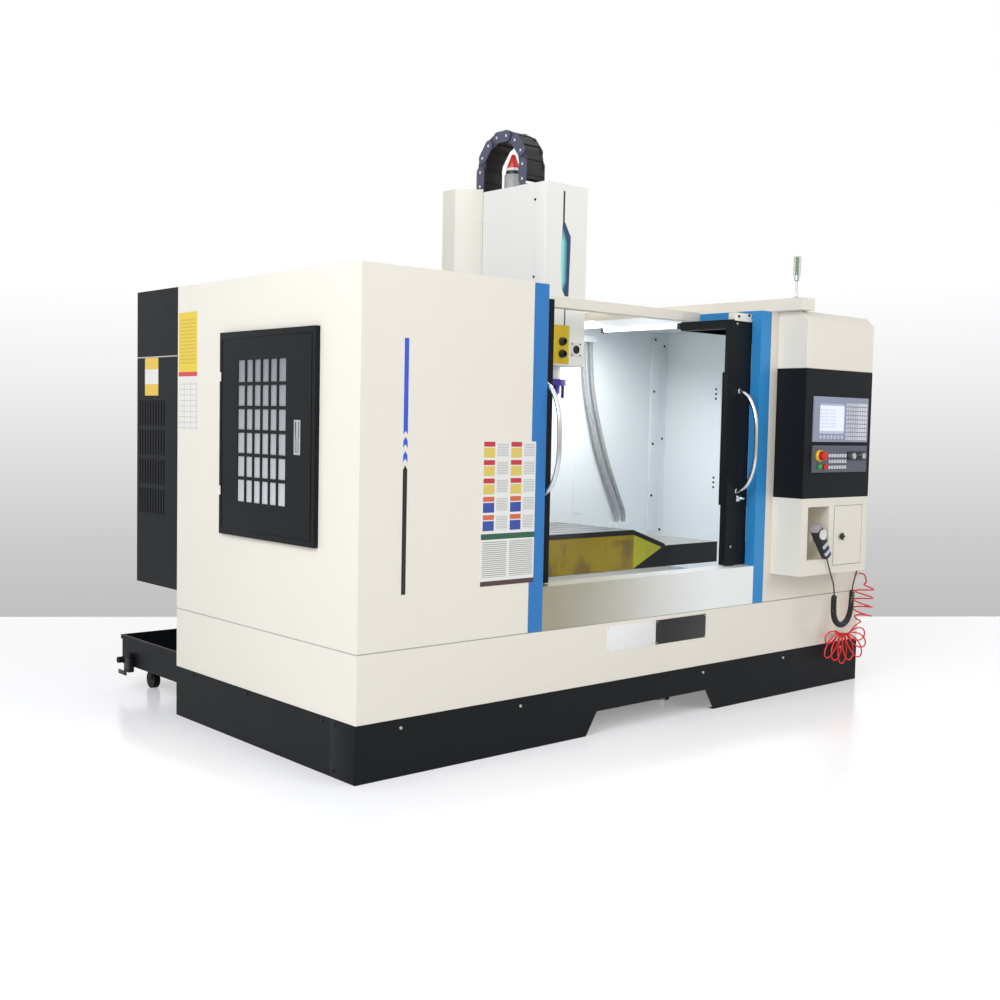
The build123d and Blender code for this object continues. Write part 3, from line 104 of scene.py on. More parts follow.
class Wire:
    """A socket of a material, so that its maths is written as plain expressions."""

    def __init__(self, tree, socket):
        self.tree, self.socket = tree, socket

    def node(self, kind, sockets, out=0, stops=None, **settings):
        """A node of any kind: its settings first, then the values or links of its sockets."""
        made = self.tree.nodes.new("ShaderNode" + kind)
        for name, value in settings.items():
            setattr(made, name, value)
        for index, (place, colour) in enumerate(stops or ()):
            ramp = made.color_ramp.elements
            stop = ramp[index] if index < len(ramp) else ramp.new(place)
            stop.position, stop.color = place, colour
        for name, value in sockets.items():
            if isinstance(value, Wire):
                self.tree.links.new(value.socket, made.inputs[name])
            else:
                made.inputs[name].default_value = value
        return Wire(self.tree, made.outputs[out])

    def maths(self, operation, first, second=0):
        return self.node("Math", {0: first, 1: second}, operation=operation)

    def size(self):
        return self.maths("ABSOLUTE", self)

    __add__ = __radd__ = sign("ADD")
    __sub__ = sign("SUBTRACT")
    __rsub__ = sign("SUBTRACT", swapped=True)
    __mul__ = __rmul__ = sign("MULTIPLY")
    __truediv__ = sign("DIVIDE")
    __gt__ = sign("GREATER_THAN")
    __lt__ = sign("LESS_THAN")
    at_least = sign("MAXIMUM")
    at_most = sign("MINIMUM")


def rgb(red, green, blue):
    return (red, green, blue, 1)


def shade(colour, amount):
    """The same colour, darker or lighter."""
    return (*(min(1, part * amount) for part in colour[:3]), 1)


def new_finish(name, slot=None, **constants):
    """A material with its constants on the shader, and the place on the piece to work from.
    The slot, the record's name for what the finish is made of, is not used."""
    made = bpy.data.materials.new(name)
    made.use_nodes = True
    tree = made.node_tree
    shader = tree.nodes["Principled BSDF"]
    for socket, value in constants.items():
        shader.inputs[socket.replace("_", " ")].default_value = value
    place = tree.nodes.new("ShaderNodeTexCoord")
    return made, shader, Wire(tree, place.outputs["Object"])


def feed(shader, colour, roughness, **wires):
    """Links a shader's colour and roughness, and what else is named."""
    for socket, wire in {"Base_Color": colour, "Roughness": roughness, **wires}.items():
        wire.tree.links.new(wire.socket, shader.inputs[socket.replace("_", " ")])


def axes(place):
    """The place on the piece as its three numbers."""
    split = place.node("SeparateXYZ", {0: place}).socket.node
    return [Wire(place.tree, split.outputs[letter]) for letter in "XYZ"]


def between(wire, low, high):
    return (wire > low) * (wire < high)


def part_of(wire, count):
    """Share of the way through one of a number of equal parts."""
    return wire.maths("FRACT", wire * count)


def tint(mask, low, high):
    """Colour that goes from low to high with a mask."""
    return mask.node("Mix", {0: mask, 6: low, 7: high}, out=2, data_type="RGBA")


def layered(colour, *layers):
    """A ground colour with layers over it, each a mask and the colour that it lays on."""
    for mask, ink in layers:
        colour = tint(mask, colour, ink)
    return colour


def cloud(place, scale, detail=3):
    """Soft noise, its spots about one metre divided by the scale."""
    return place.node("TexNoise", {"Vector": place, "Scale": scale, "Detail": detail})


def grain(place, scale, detail):
    """Noise drawn out into lines or streaks, with a scale for each axis."""
    return cloud(place.node("Mapping", {"Vector": place, "Scale": scale}), 1, detail)


def relief(height, depth, strength):
    return height.node("Bump", {"Height": height, "Distance": depth, "Strength": strength})


def rubber(name, colour, roughness=0.45, dust=0.5, slot=None):
    """Jacket or moulding in soft plastic, with a little dust and a fine skin."""
    made, shader, place = new_finish(name, slot)
    patches = cloud(place, 14, 4)
    tone = tint(patches, shade(colour, 1 - 0.25 * dust), shade(colour, 1 + 0.5 * dust))
    skin = relief(cloud(place, 900, 2), 0.00008, 0.5)
    feed(shader, tone, roughness + 0.16 * (patches - 0.5), Normal=skin)
    return made


def curve_piece(name, points, radius, steps=4):
    """Smooth spline with the given points as its control points, round in section."""
    data = bpy.data.curves.new(name, "CURVE")
    data.dimensions = "3D"
    data.bevel_depth = radius
    data.bevel_resolution = 2
    data.use_fill_caps = radius > 0
    spline = data.splines.new("NURBS")
    spline.points.add(len(points) - 1)
    for knot, point in zip(spline.points, points):
        knot.co = (*point, 1)
    spline.order_u = 3
    spline.use_endpoint_u = True
    spline.resolution_u = steps
    return placed(name, data)


def route_places(points):
    """Places read along the smooth spline of a route."""
    guide = curve_piece("guide", points, 0, 24)
    line = bpy.data.meshes.new_from_object(guide)
    places = [vertex.co.copy() for vertex in line.vertices]
    bpy.data.objects.remove(guide)
    bpy.data.meshes.remove(line)
    return places


def wound(points, radius, turns, grow, loose=0, start=0):
    """Helix around a route; it opens over its first turns and closes over its last, both given by grow."""
    places = route_places(points)
    run = [0]
    for one, two in zip(places, places[1:]):
        run.append(run[-1] + (two - one).length)
    side = (places[1] - places[0]).cross(Vector((0, 1, 0.01))).normalized()
    helix, index = [], 0
    count = int(turns * 12)
    for step in range(count + 1):
        share = step / count
        want = share * run[-1]
        while index < len(places) - 2 and run[index + 1] < want:
            index += 1
        along = places[index + 1] - places[index]
        here = places[index] + along * ((want - run[index]) / max(along.length, 1e-9))
        along.normalize()
        side = (side - along * side.dot(along)).normalized()
        angle = start + tau * turns * share
        wide = radius * min(1, share * turns / grow, (1 - share) * turns / grow)
        wide *= 1 + loose * sin(2.3 * angle / tau * 2.1 + 1)
        helix.append(here + (side * cos(angle) + along.cross(side) * sin(angle)) * wide)
    return helix


def mount(piece, body="machine"):
    """The piece rides on its body."""
    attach(piece, body)
    return piece


jacket = rubber("cord_jacket", rgb(0.012, 0.012, 0.014), 0.36, 0.3, "black_rubber")
cord_near, cord_far = -1.16185, -1.09485
cord_lead = [(x, cord_near, z) for x, z in (
    (1.0971, 0.7415), (1.1118, 0.7201), (1.137, 0.664), (1.158, 0.625), (1.1776, 0.5877))]
cord_curl = [(1.183, cord_near, 0.54), (1.193, -1.15068, 0.452), (1.238, -1.13952, 0.386),
             (1.314, -1.12835, 0.36), (1.389, -1.11718, 0.384), (1.437, -1.10602, 0.452),
             (1.455, cord_far, 0.54)]
cord_tail = [(x, cord_far, z) for x, z in (
    (1.463, 0.5792), (1.494, 0.636), (1.495, 0.69), (1.497, 0.744), (1.497, 0.8))]
handset_cord = curve_piece(
    "handset_cord", cord_lead + wound(cord_curl, 0.0125, 58, 1) + cord_tail, 0.0035, 3)
handset_cord.data.materials.append(jacket)
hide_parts("handset_lead", "handset_curl", "handset_tail")
mount(handset_cord)


# Air hose: red polyurethane spring hose, eight millimetres across, for the blow gun.
# Its slack hangs as a fan of loops on the lower fitting, and loose turns climb to the upper one.
air_red = rubber("air_hose_red", rgb(0.78, 0.018, 0.016), 0.28, 0.25, "red_hose")
knot = Vector((1.468, -0.99385, 0.294))
hank_middle, hank_half = Vector((1.5, 0, 0.24)), (0.2, 0.12)


def loop_reach(angle):
    """Distance from the knot to the hank's outline, in a direction measured from straight down."""
    way = (sin(angle) / hank_half[0], -cos(angle) / hank_half[1])
    gap = ((knot.x - hank_middle.x) / hank_half[0], (knot.z - hank_middle.z) / hank_half[1])
    square = way[0] ** 2 + way[1] ** 2
    half = way[0] * gap[0] + way[1] * gap[1]
    return (-half + sqrt(half * half - square * (gap[0] ** 2 + gap[1] ** 2 - 1))) / square


hose_line = [knot, knot + Vector((0, -0.006, 0)), knot + Vector((0, -0.0115, 0.001))]
fan = [(-74, 0.74, 0.46), (-47, 1, 0.4), (-24, 0.93, 0.52), (2, 0.99, 0.44), (27, 0.9, 0.5),
       (50, 0.98, 0.36), (68, 0.86, 0.34), (84, 0.74, 0.42)]
for number, (lie, share, width) in enumerate(fan):
    angle = radians(lie)
    out = Vector((sin(angle), 0, -cos(angle)))
    aside = Vector((cos(angle), 0, sin(angle)))
    reach = loop_reach(angle) * share
    for step in range(1, 15):
        t = step / 14
        swell = (1 - cos(tau * t)) / 2
        depth = -0.012 - 0.0086 * (number + t)
        hose_line.append(knot + out * reach * swell + Vector((0, depth, 0))
                         - aside * reach * width * 0.62 * sin(tau * t) * swell ** 0.35)
riser = [(1.598, -1.05785, 0.343), (1.628, -1.05585, 0.425), (1.644, -1.05585, 0.495),
         (1.654, -1.05585, 0.56)]
hose_line += [(1.492, -1.0745, 0.312), (1.532, -1.074, 0.334), (1.566, -1.067, 0.34)]
hose_line += wound(riser, 0.053, 4.6, 0.75, loose=0.09, start=2.2)
hose_line += [(1.659, -1.05, 0.584), (1.668, -1.034, 0.6), (1.678, -1.016, 0.605),
              (1.68, -0.99405, 0.605)]
air_hose = curve_piece("air_hose", hose_line, 0.004, 4)
air_hose.data.materials.append(air_red)
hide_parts("air_hose_coil", "air_hose_riser")
mount(air_hose)


# Floor and light: a white studio floor that ends in a straight line behind the machine, a grey to white
# backdrop seen only by the camera and in reflections, and two large soft lamps.
data = bpy.data.meshes.new("floor")
data.from_pydata([(-12.93, 11.55, 0), (-16, -16, 0), (18, -16, 0), (18, -9.23, 0)], [], [(0, 1, 2, 3)])
floor = placed("floor", data)
floor_paint, shader, place = new_finish("floor_white", Roughness=0.16, IOR=1.28)
tree = floor_paint.node_tree
white_paint = tint(cloud(place, 0.7), rgb(0.9, 0.9, 0.9), rgb(0.93, 0.93, 0.93))
tree.links.new(white_paint.socket, shader.inputs["Base Color"])
seen = Wire(tree, tree.nodes.new("ShaderNodeLightPath").outputs["Is Camera Ray"])
lift = seen.node("Emission", {"Strength": seen * 0.24})
both = seen.node("AddShader", {0: Wire(tree, shader.outputs[0]), 1: lift})
tree.links.new(both.socket, tree.nodes["Material Output"].inputs["Surface"])
floor.data.materials.append(floor_paint)

world = bpy.data.worlds.new("studio")
bpy.context.scene.world = world
world.use_nodes = True
tree = world.node_tree
sky = tree.nodes["Background"]
way = Wire(tree, tree.nodes.new("ShaderNodeTexCoord").outputs["Generated"])
rise = way.node("VectorMath", {0: way, 1: tuple(above)}, out=1, operation="DOT_PRODUCT")
tones = ((0, 0.5), (0.27, 0.6), (0.49, 0.735), (0.71, 0.88), (0.93, 1))
stops = [(height, rgb(tone, tone, tone)) for height, tone in tones]
grey = rise.node("ValToRGB", {0: (rise + 0.11) / 0.29}, stops=stops)
path = tree.nodes.new("ShaderNodeLightPath")
direct, mirrored, through = [Wire(tree, path.outputs[f"Is {ray} Ray"]) for ray in (
    "Camera", "Glossy", "Transmission")]
watched = direct.at_least(mirrored.at_least(through))
tree.links.new(tint(watched, rgb(1, 1, 1), grey).socket, sky.inputs["Color"])
tree.links.new((0.46 + 0.54 * watched).socket, sky.inputs["Strength"])


def soft_lamp(name, place, target, size, power):
    data = bpy.data.lights.new(name, "AREA")
    data.shape, data.size, data.size_y, data.energy = "RECTANGLE", size[0], size[1], power
    lamp = placed(name, data)
    lamp.location = place
    lamp.rotation_euler = (Vector(target) - Vector(place)).to_track_quat("-Z", "Y").to_euler()
    return lamp


soft_lamp("lamp_left", (-7.5, -3.2, 4.6), (-0.4, 0, 1.1), (4.5, 4), 425).data.color = (0.9, 0.925, 1)
soft_lamp("lamp_front", (2.5, -8, 4.4), (0, 0, 1.1), (5, 3.6), 185).visible_glossy = False


# Bed, column and way rails: grey iron castings painted cream, ground steel rails bolted on.
# They stand on steel levelling pads under the skirt.
def powder_coat(name, colour, roughness=0.4, peel=0.35, drift=0.03, gloss=0.5, inside=None,
                slot="cream_paint"):
    """Baked powder coat on sheet metal: even tone, faint orange peel, a little dust.
    Cabin panels have a lighter enamel inside and a dark joint line where two panels meet."""
    made, shader, place = new_finish(name, slot, Specular_IOR_Level=gloss)
    dust = cloud(place, 7, 5)
    skin = relief(cloud(place, 260, 2), 0.00012, peel)
    tone = tint(cloud(place, 1.3, 2), shade(colour, 1 - drift), shade(colour, 1 + drift))
    if inside:
        x, y, z = axes(place)
        joint = (z - panel_joint).size() < 0.0022
        within = (x.size() < inner_half) * between(y, inner_front, inner_back) * (z < inner_top)
        tone = layered(tone, (joint * 0.72, rgb(0.1, 0.09, 0.075)), (within, inside))
    feed(shader, tone, roughness + 0.12 * (dust - 0.5), Normal=skin)
    return made


def ground_steel(name, colour, roughness=0.3, lay=(4, 4, 600), slot="steel"):
    """Bright metal with the fine lines of grinding or brushing across one direction."""
    made, shader, place = new_finish(name, slot, Metallic=1)
    scratch = grain(place, lay, 4)
    tone = tint(scratch, shade(colour, 0.86), shade(colour, 1.08))
    dull = roughness + 0.22 * (cloud(place, 5, 4) - 0.5) + 0.1 * (scratch - 0.5)
    feed(shader, tone, dull, Normal=relief(scratch, 0.00006, 0.5))
    return made


def dress(piece, material):
    piece.data.materials.clear()
    piece.data.materials.append(material)


def finish_nodes(material, *nodes):
    """CAD nodes whose shape stays get their finish."""
    for node in nodes:
        dress(frame["nodes"][node], material)


casting_cream = powder_coat("casting_cream", rgb(0.8, 0.79, 0.74), 0.5, 0.8)
steel = ground_steel("ground_steel", rgb(0.62, 0.62, 0.63))
finish_nodes(casting_cream, "bed", "column")
finish_nodes(steel, "guide_rails", "levelling_feet")


# Folded panels of sheet steel: the cut edges are rounded over before the panel is coated.
# Each keeps the shape of its CAD solid and takes that solid's place in the pictures.
def choose(*pieces):
    """Selects these pieces and nothing else, the first one active."""
    bpy.ops.object.select_all(action="DESELECT")
    for piece in pieces:
        piece.select_set(True)
    bpy.context.view_layer.objects.active = pieces[0]


def softened(node, width, material, steps=1, roof=None):
    """The solid's own shape with its edges broken, in place of its raw mesh.
    What stands above the roof is left off, where pieces built below take its place."""
    source = frame["nodes"][node]
    mesh = source.data.copy()
    piece = placed(node + "_finished", mesh)
    if "custom_normal" in mesh.attributes:
        mesh.attributes.remove(mesh.attributes["custom_normal"])
    shape = bmesh.new()
    shape.from_mesh(mesh)
    bmesh.ops.remove_doubles(shape, verts=shape.verts, dist=0.00001)
    if roof:
        tall = [vertex for vertex in shape.verts if vertex.co.z > roof + 0.0002]
        bmesh.ops.delete(shape, geom=tall, context="VERTS")
        bmesh.ops.holes_fill(shape, edges=[edge for edge in shape.edges if edge.is_boundary])
        bmesh.ops.recalc_face_normals(shape, faces=shape.faces)
    bmesh.ops.dissolve_limit(shape, angle_limit=radians(1), verts=shape.verts, edges=shape.edges)
    shape.to_mesh(mesh)
    shape.free()
    choose(piece)
    edge = piece.modifiers.new("edges", "BEVEL")
    edge.width, edge.segments, edge.angle_limit = width, steps, radians(40)
    bpy.ops.object.modifier_apply(modifier="edges")
    bpy.ops.object.shade_smooth_by_angle(angle=radians(32))
    if steps > 1:
        piece.modifiers.new("flats", "WEIGHTED_NORMAL").keep_sharp = True
        bpy.ops.object.modifier_apply(modifier="flats")
    dress(piece, material)
    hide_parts(node)
    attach(piece, source["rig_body"])
    return piece


skirt_low, skirt_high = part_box("base_skirt")
cabin_low, cabin_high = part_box("left_cabin")
side, face, panel_joint, sheet = skirt_low.x, skirt_low.y, cabin_low.z, 0.0012
inner_half, inner_front, inner_back = skirt_high.x - sheet, face + sheet, skirt_high.y - sheet
inner_top = cabin_high.z - sheet
enamel, outside = rgb(0.8, 0.85, 0.88), rgb(0.815, 0.775, 0.68)
cream = powder_coat("cream_coat", outside)
head_coat = powder_coat("head_coat", rgb(0.9, 0.89, 0.84))
cabin_coat = powder_coat("cabin_coat", outside, inside=enamel)
white = powder_coat("white_coat", enamel)
black = powder_coat("black_coat", rgb(0.009, 0.0105, 0.012), 0.42, 0.4, 0.12, 0.12, slot="black_paint")
blue = powder_coat("blue_coat", rgb(0.03, 0.19, 0.5), 0.4, 0.3, 0.05, 0.35, slot="blue_paint")
# The right stile's blue is a lighter copy of the same paint: painted light on that stile.
blue_painted_lighter = powder_coat("blue_coat_right_painted_light", rgb(0.032, 0.255, 0.57), 0.4, 0.3, 0.05, 0.35, slot="blue_paint")
for material, width, nodes in (
        (cabin_coat, 0.0016, "lower_guard left_cabin right_cabin"),
        (cream, 0.0011, "cable_duct header_beam column_cover"),
        (cream, 0.0025, "pendant_top_box pendant_base_box"),
        (cream, 0.0018, "locker_door"),
        (cabin_coat, 0.0008, "back_wall"),
        (black, 0.001, "base_skirt left_door right_door coolant_tank"),
        (blue, 0.001, "left_stile"),
        (blue_painted_lighter, 0.001, "right_stile")):
    for node in nodes.split():
        softened(node, width, material)
softened("head_cover", 0.0025, head_coat, roof=2.605)
softened("control_housing", 0.003, black, 2)


# Skirt: button-head screws with a hexagon socket, zinc plated or blackened, in its punched holes,
# and a flat steel plate that covers its front left corner.
def begin(kind, **where):
    """A new primitive, alone in the selection and open in edit mode."""
    bpy.ops.object.select_all(action="DESELECT")
    getattr(bpy.ops.mesh, f"primitive_{kind}_add")(**where)
    bpy.ops.object.mode_set(mode="EDIT")
    return bpy.context.object


def pick(piece, kind, test):
    """Selects the faces or edges for which the test holds, and nothing else."""
    bpy.ops.mesh.select_mode(type=kind)
    bpy.ops.mesh.select_all(action="DESELECT")
    shape = bmesh.from_edit_mesh(piece.data)
    shape.normal_update()
    for part in shape.faces if kind == "FACE" else shape.edges:
        if test(part):
            part.select_set(True)
    shape.select_flush_mode()
    bmesh.update_edit_mesh(piece.data)


def settle(piece, name, material, angle=35):
    """Leaves edit mode with the piece's place in its mesh, faces out and shading set."""
    bpy.ops.mesh.select_all(action="SELECT")
    bpy.ops.mesh.remove_doubles(threshold=0.000001)
    bpy.ops.mesh.normals_make_consistent(inside=False)
    bpy.ops.object.mode_set(mode="OBJECT")
    bpy.ops.object.transform_apply(location=True, rotation=True, scale=True)
    bpy.ops.object.shade_smooth_by_angle(angle=radians(angle))
    piece.name = piece.data.name = name
    piece.data.materials.append(material)
    return piece


def drawn(points, filled=False):
    """A line through points, or the face that they bound, selected and open in edit mode."""
    piece = begin("plane", size=1)
    shape = bmesh.from_edit_mesh(piece.data)
    for vertex in list(shape.verts):
        shape.verts.remove(vertex)
    knots = [shape.verts.new(point) for point in points]
    if filled:
        shape.faces.new(knots)
    else:
        for one, two in zip(knots, knots[1:]):
            shape.edges.new((one, two))
    bmesh.update_edit_mesh(piece.data)
    bpy.ops.mesh.select_all(action="SELECT")
    return piece


def slab(name, low, high, edge, material, body="machine", steps=2):
    """Plate or block between two corners, its edges rounded."""
    low, high = Vector(low), Vector(high)
    piece = begin("cube", size=1, location=(low + high) / 2)
    bpy.ops.transform.resize(value=high - low)
    bpy.ops.mesh.bevel(offset=edge, segments=steps, affect="EDGES")
    return mount(settle(piece, name, material), body)


def joined(name, pieces):
    """Several pieces as one, under the first one's name."""
    choose(*pieces)
    bpy.ops.object.join()
    pieces[0].name = pieces[0].data.name = name
    return pieces[0]


def copies(name, model, frames):
    """The model copied to each frame, each copy with its own mesh, as one piece; the model itself goes."""
    made = [placed(name, model.data.copy()) for _ in frames]
    for twin, place in zip(made, frames):
        twin.data.transform(place)
    bpy.data.objects.remove(model)
    return joined(name, made)


def facing(direction, place):
    """Frame at a place whose Z axis points the given way."""
    rotation = Vector(direction).to_track_quat("Z", "Y").to_matrix().to_4x4()
    return Matrix.Translation(Vector(place)) @ rotation


forward, leftward, upward = (0, -1, 0), (-1, 0, 0), (0, 0, 1)


def screws(name, places, radius, material, body="machine", toward=forward):
    head = begin("cylinder", vertices=14, radius=radius, depth=radius * 0.9, location=(0, 0, radius * 0.35))
    pick(head, "EDGE", lambda edge: all(v.co.z > 0 for v in edge.verts))
    bpy.ops.mesh.bevel(offset=radius * 0.3, segments=2, affect="EDGES")
    pick(head, "FACE", lambda face: face.normal.z > 0.9 and face.calc_area() > radius * radius)
    bpy.ops.mesh.inset(thickness=radius * 0.28)
    bpy.ops.mesh.extrude_region_move(TRANSFORM_OT_translate={"value": (0, 0, -radius * 0.45)})
    settle(head, "screw_head", material, 50)
    return mount(copies(name, head, [facing(toward, place) for place in places]), body)


def turned(name, profile, place, material, body="machine", toward=upward, steps=32):
    """Profile of (radius, z) points spun about the axis that stands on a place."""
    piece = drawn([(radius, 0, high) for radius, high in profile])
    bpy.ops.mesh.spin(steps=steps, angle=tau, center=(0, 0, 0), axis=(0, 0, 1))
    settle(piece, name, material, 40)
    piece.data.transform(facing(toward, place))
    return mount(piece, body)


zinc = ground_steel("zinc_plate", rgb(0.66, 0.66, 0.64), 0.32, (300, 300, 300))
black_oxide = ground_steel("black_oxide", rgb(0.05, 0.05, 0.055), 0.42, (300, 300, 300))
corner, row = side - 0.0014, 0.212
screws("skirt_screws", [(x, face, 0.196) for x in (-1.5, -0.86, 0.36, 1.02, 1.55)], 0.007, zinc)
slab("skirt_corner_plate", (corner, face + 0.002, 0.003), (side, face + 0.171, 0.2305), 0.0006, black)
screws("skirt_side_screws", [(side, face + y, row) for y in (0.228, 0.818, 1.3)], 0.007, black_oxide,
       toward=leftward)
screws("corner_plate_screws", [(corner, face + 0.14, row), (corner, face + 0.15, 0.022)], 0.006,
       black_oxide, toward=leftward)


# Left cabin's front panel: a printed stripe, blue above and black below with two arrow shapes between,
# and a printed plastic sheet beside the opening that carries plain fields of colour.
def film(name, outline, drop, material, body="machine"):
    """Thin film laid on a front face: an outline in x and z, filled and drawn out by its thickness."""
    piece = drawn([(x, drop, z) for x, z in outline], filled=True)
    bpy.ops.mesh.extrude_region_move(TRANSFORM_OT_translate={"value": (0, -0.0005, 0)})
    return mount(settle(piece, name, material), body)


def print_ink(name, colour, slot, roughness=0.35):
    """Screen-printed or cut film: flat colour with a faint unevenness in its gloss."""
    made, shader, place = new_finish(name, slot)
    spots = cloud(place, 40)
    uneven = tint(spots, shade(colour, 0.95), shade(colour, 1.05))
    feed(shader, uneven, roughness + 0.1 * (spots - 0.5))
    return made


stripe_blue = print_ink("stripe_blue", rgb(0.04, 0.09, 0.62), "blue_paint")
stripe_black = print_ink("stripe_black", rgb(0.012, 0.01, 0.01), "black_paint")
mid, half = -1.497, 0.0105
left, right = mid - half, mid + half
film("stripe_upper", [(left, 1.725), (right, 1.725), (right, 1.352), (mid, 1.366), (left, 1.352)], face,
     stripe_blue)
for number, top in ((1, 1.343), (2, 1.287)):
    film(f"stripe_arrow_{number}", [(mid, top), (right, top - 0.016), (right, top - 0.044),
         (mid, top - 0.028), (left, top - 0.044), (left, top - 0.016)], face, stripe_blue)
film("stripe_lower", [(left, 0.724), (right, 0.724), (right, 1.214), (mid, 1.232), (left, 1.214)], face,
     stripe_black)

chart, shader, place = new_finish("chart_print", "cream_paint", Coat_Weight=0.3)
x, y, z = axes(place)
chart_left, chart_right, chart_low, chart_high = -1.101, -0.801, 0.726, 1.328
up_sheet = (z - chart_low) / (chart_high - chart_low)
column = part_of((x - chart_left) / (chart_right - chart_left), 2)
rows = (up_sheet - 0.37) / 0.63
row_part = part_of(rows, 5)
upper, warm = rows > 0, rows > 0.4
left_field = upper * between(column, 0.05, 0.46)
lines = upper * between(column, 0.54, 0.95) * between(row_part, 0.16, 0.9)
lines = lines * (part_of(up_sheet, 88) < 0.42)
table = between(up_sheet, 0.06, 0.31) * between(column, 0.05, 0.95) * (part_of(up_sheet, 70) < 0.45)
colour = layered(
    rgb(0.8, 0.8, 0.76),
    (left_field * between(row_part, 0.7, 0.97), tint(warm, rgb(0.66, 0.13, 0.05), rgb(0.55, 0.03, 0.04))),
    (left_field * between(row_part, 0.1, 0.64), tint(warm, rgb(0.03, 0.07, 0.34), rgb(0.72, 0.56, 0.12))),
    (lines, rgb(0.42, 0.42, 0.42)),
    (table, rgb(0.34, 0.34, 0.33)),
    (between(up_sheet, 0.322, 0.362), rgb(0.015, 0.1, 0.055)),
    (up_sheet < 0.034, rgb(0.06, 0.03, 0.025)))
feed(shader, colour, 0.3 + 0.1 * cloud(place, 30))
slab("chart_sheet", (chart_left, face - 0.0009, chart_low), (chart_right, face, chart_high), 0.0003, chart,
     steps=1)


# Base panel's front: two bare plates where a machine carries its name, one white and one black,
# both of anodised aluminium held by four small rivets.
plate_white = print_ink("plate_white", rgb(0.84, 0.84, 0.83), "cream_paint", 0.3)
plate_black = print_ink("plate_black", rgb(0.01, 0.01, 0.011), "black_paint", 0.3)
plate_face, plate_low, plate_high, hole = face - 0.0016, 0.371, 0.487, 0.008
ends = ((-0.333, -0.013), (0.002, 0.369))
for name, (left, right), ink in zip(("plate_left", "plate_right"), ends, (plate_white, plate_black)):
    slab(name, (left, plate_face, plate_low), (right, face, plate_high), 0.0005, ink)
rivets = [(x, plate_face, z) for left, right in ends for x in (left + hole, right - hole)
          for z in (plate_low + hole, plate_high - hole)]
screws("plate_rivets", rivets, 0.003, zinc)


# Left side of the cabin: a yellow printed plate with a red band and a pale table under it, all generic,
# and a smaller yellow and white plate on the electrical cabinet, over a zinc trim.
# The cabinet is folded black sheet, and its door carries a bright metal handle.
side_print, shader, place = new_finish("side_print", "cream_paint", Coat_Weight=0.2)
x, y, z = axes(place)
print_face, print_start, print_end = side - 0.0008, face + 1.277, face + 1.453
columns = (y - print_start) / (print_end - print_start)
ruled = (part_of(z, 62) < 0.5) * between(columns, 0.08, 0.92)
grid = (part_of(columns, 3) < 0.08) + (part_of(z, 40) < 0.16)
colour = layered(
    tint(z > 1.607, rgb(0.78, 0.77, 0.72), rgb(0.78, 0.58, 0.03)),
    (ruled * between(z, 1.64, 1.85) * 0.6, rgb(0.55, 0.38, 0.03)),
    (between(z, 1.587, 1.607), rgb(0.62, 0.03, 0.05)),
    (grid * (z < 1.56) * 0.5, rgb(0.4, 0.39, 0.37)))
feed(shader, colour, 0.35 + 0.1 * cloud(place, 30))
slab("side_plate", (print_face, print_start, 1.343), (side, print_end, 1.879), 0.0003, side_print, steps=1)
cabinet_print, shader, place = new_finish("cabinet_print", "yellow_sheet", Coat_Weight=0.2)
x, y, z = axes(place)
colour = tint(between(z, 1.555, 1.625), rgb(0.8, 0.53, 0.05), rgb(0.8, 0.78, 0.74))
feed(shader, colour, 0.35 + 0.1 * cloud(place, 30))
slab("cabinet_plate", (print_face, face + 1.66, 1.5), (side, face + 1.8, 1.68), 0.0003, cabinet_print,
     steps=1)
slab("cabinet_trim", (side - 0.002, face + 1.466, 1.68), (side, face + 1.884, 1.686), 0.0006, zinc)
softened("electrical_cabinet", 0.001, black)
fitted, shader, place = new_finish("cabinet_door_coat", Specular_IOR_Level=0.12)
x, y, z = axes(place)
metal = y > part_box("electrical_cabinet")[1].y + 0.0204
feed(shader, tint(metal, rgb(0.011, 0.012, 0.014), rgb(0.7, 0.71, 0.72)),
     0.4 + 0.1 * (cloud(place, 7, 5) - 0.5) - 0.18 * metal, Metallic=metal)
softened("cabinet_door", 0.002, fitted)


# Drain valve on the coolant tank: a black ball valve with a moulded body and a lever,
# screwed on the tank's drain with a hexagonal union nut.
valve_black = powder_coat("valve_black", rgb(0.008, 0.008, 0.009), 0.35, 0.3, 0.1, slot="black_plastic")
valve = Vector((-1.668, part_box("coolant_tank")[1].y - 0.12, 0.15))
for name, low, high, edge in (
        ("valve_body", (-0.022, -0.03, -0.05), (0.01, 0.03, 0.024), 0.006),
        ("valve_lever", (-0.03, -0.012, -0.066), (-0.022, 0.075, -0.044), 0.003)):
    slab(name, valve + Vector(low), valve + Vector(high), edge, valve_black)
turned("valve_nut", [(0, 0), (0.026, 0), (0.028, 0.003), (0.028, 0.016), (0.024, 0.02), (0, 0.02)],
       valve + Vector((0, 0, 0.024)), valve_black, steps=6)


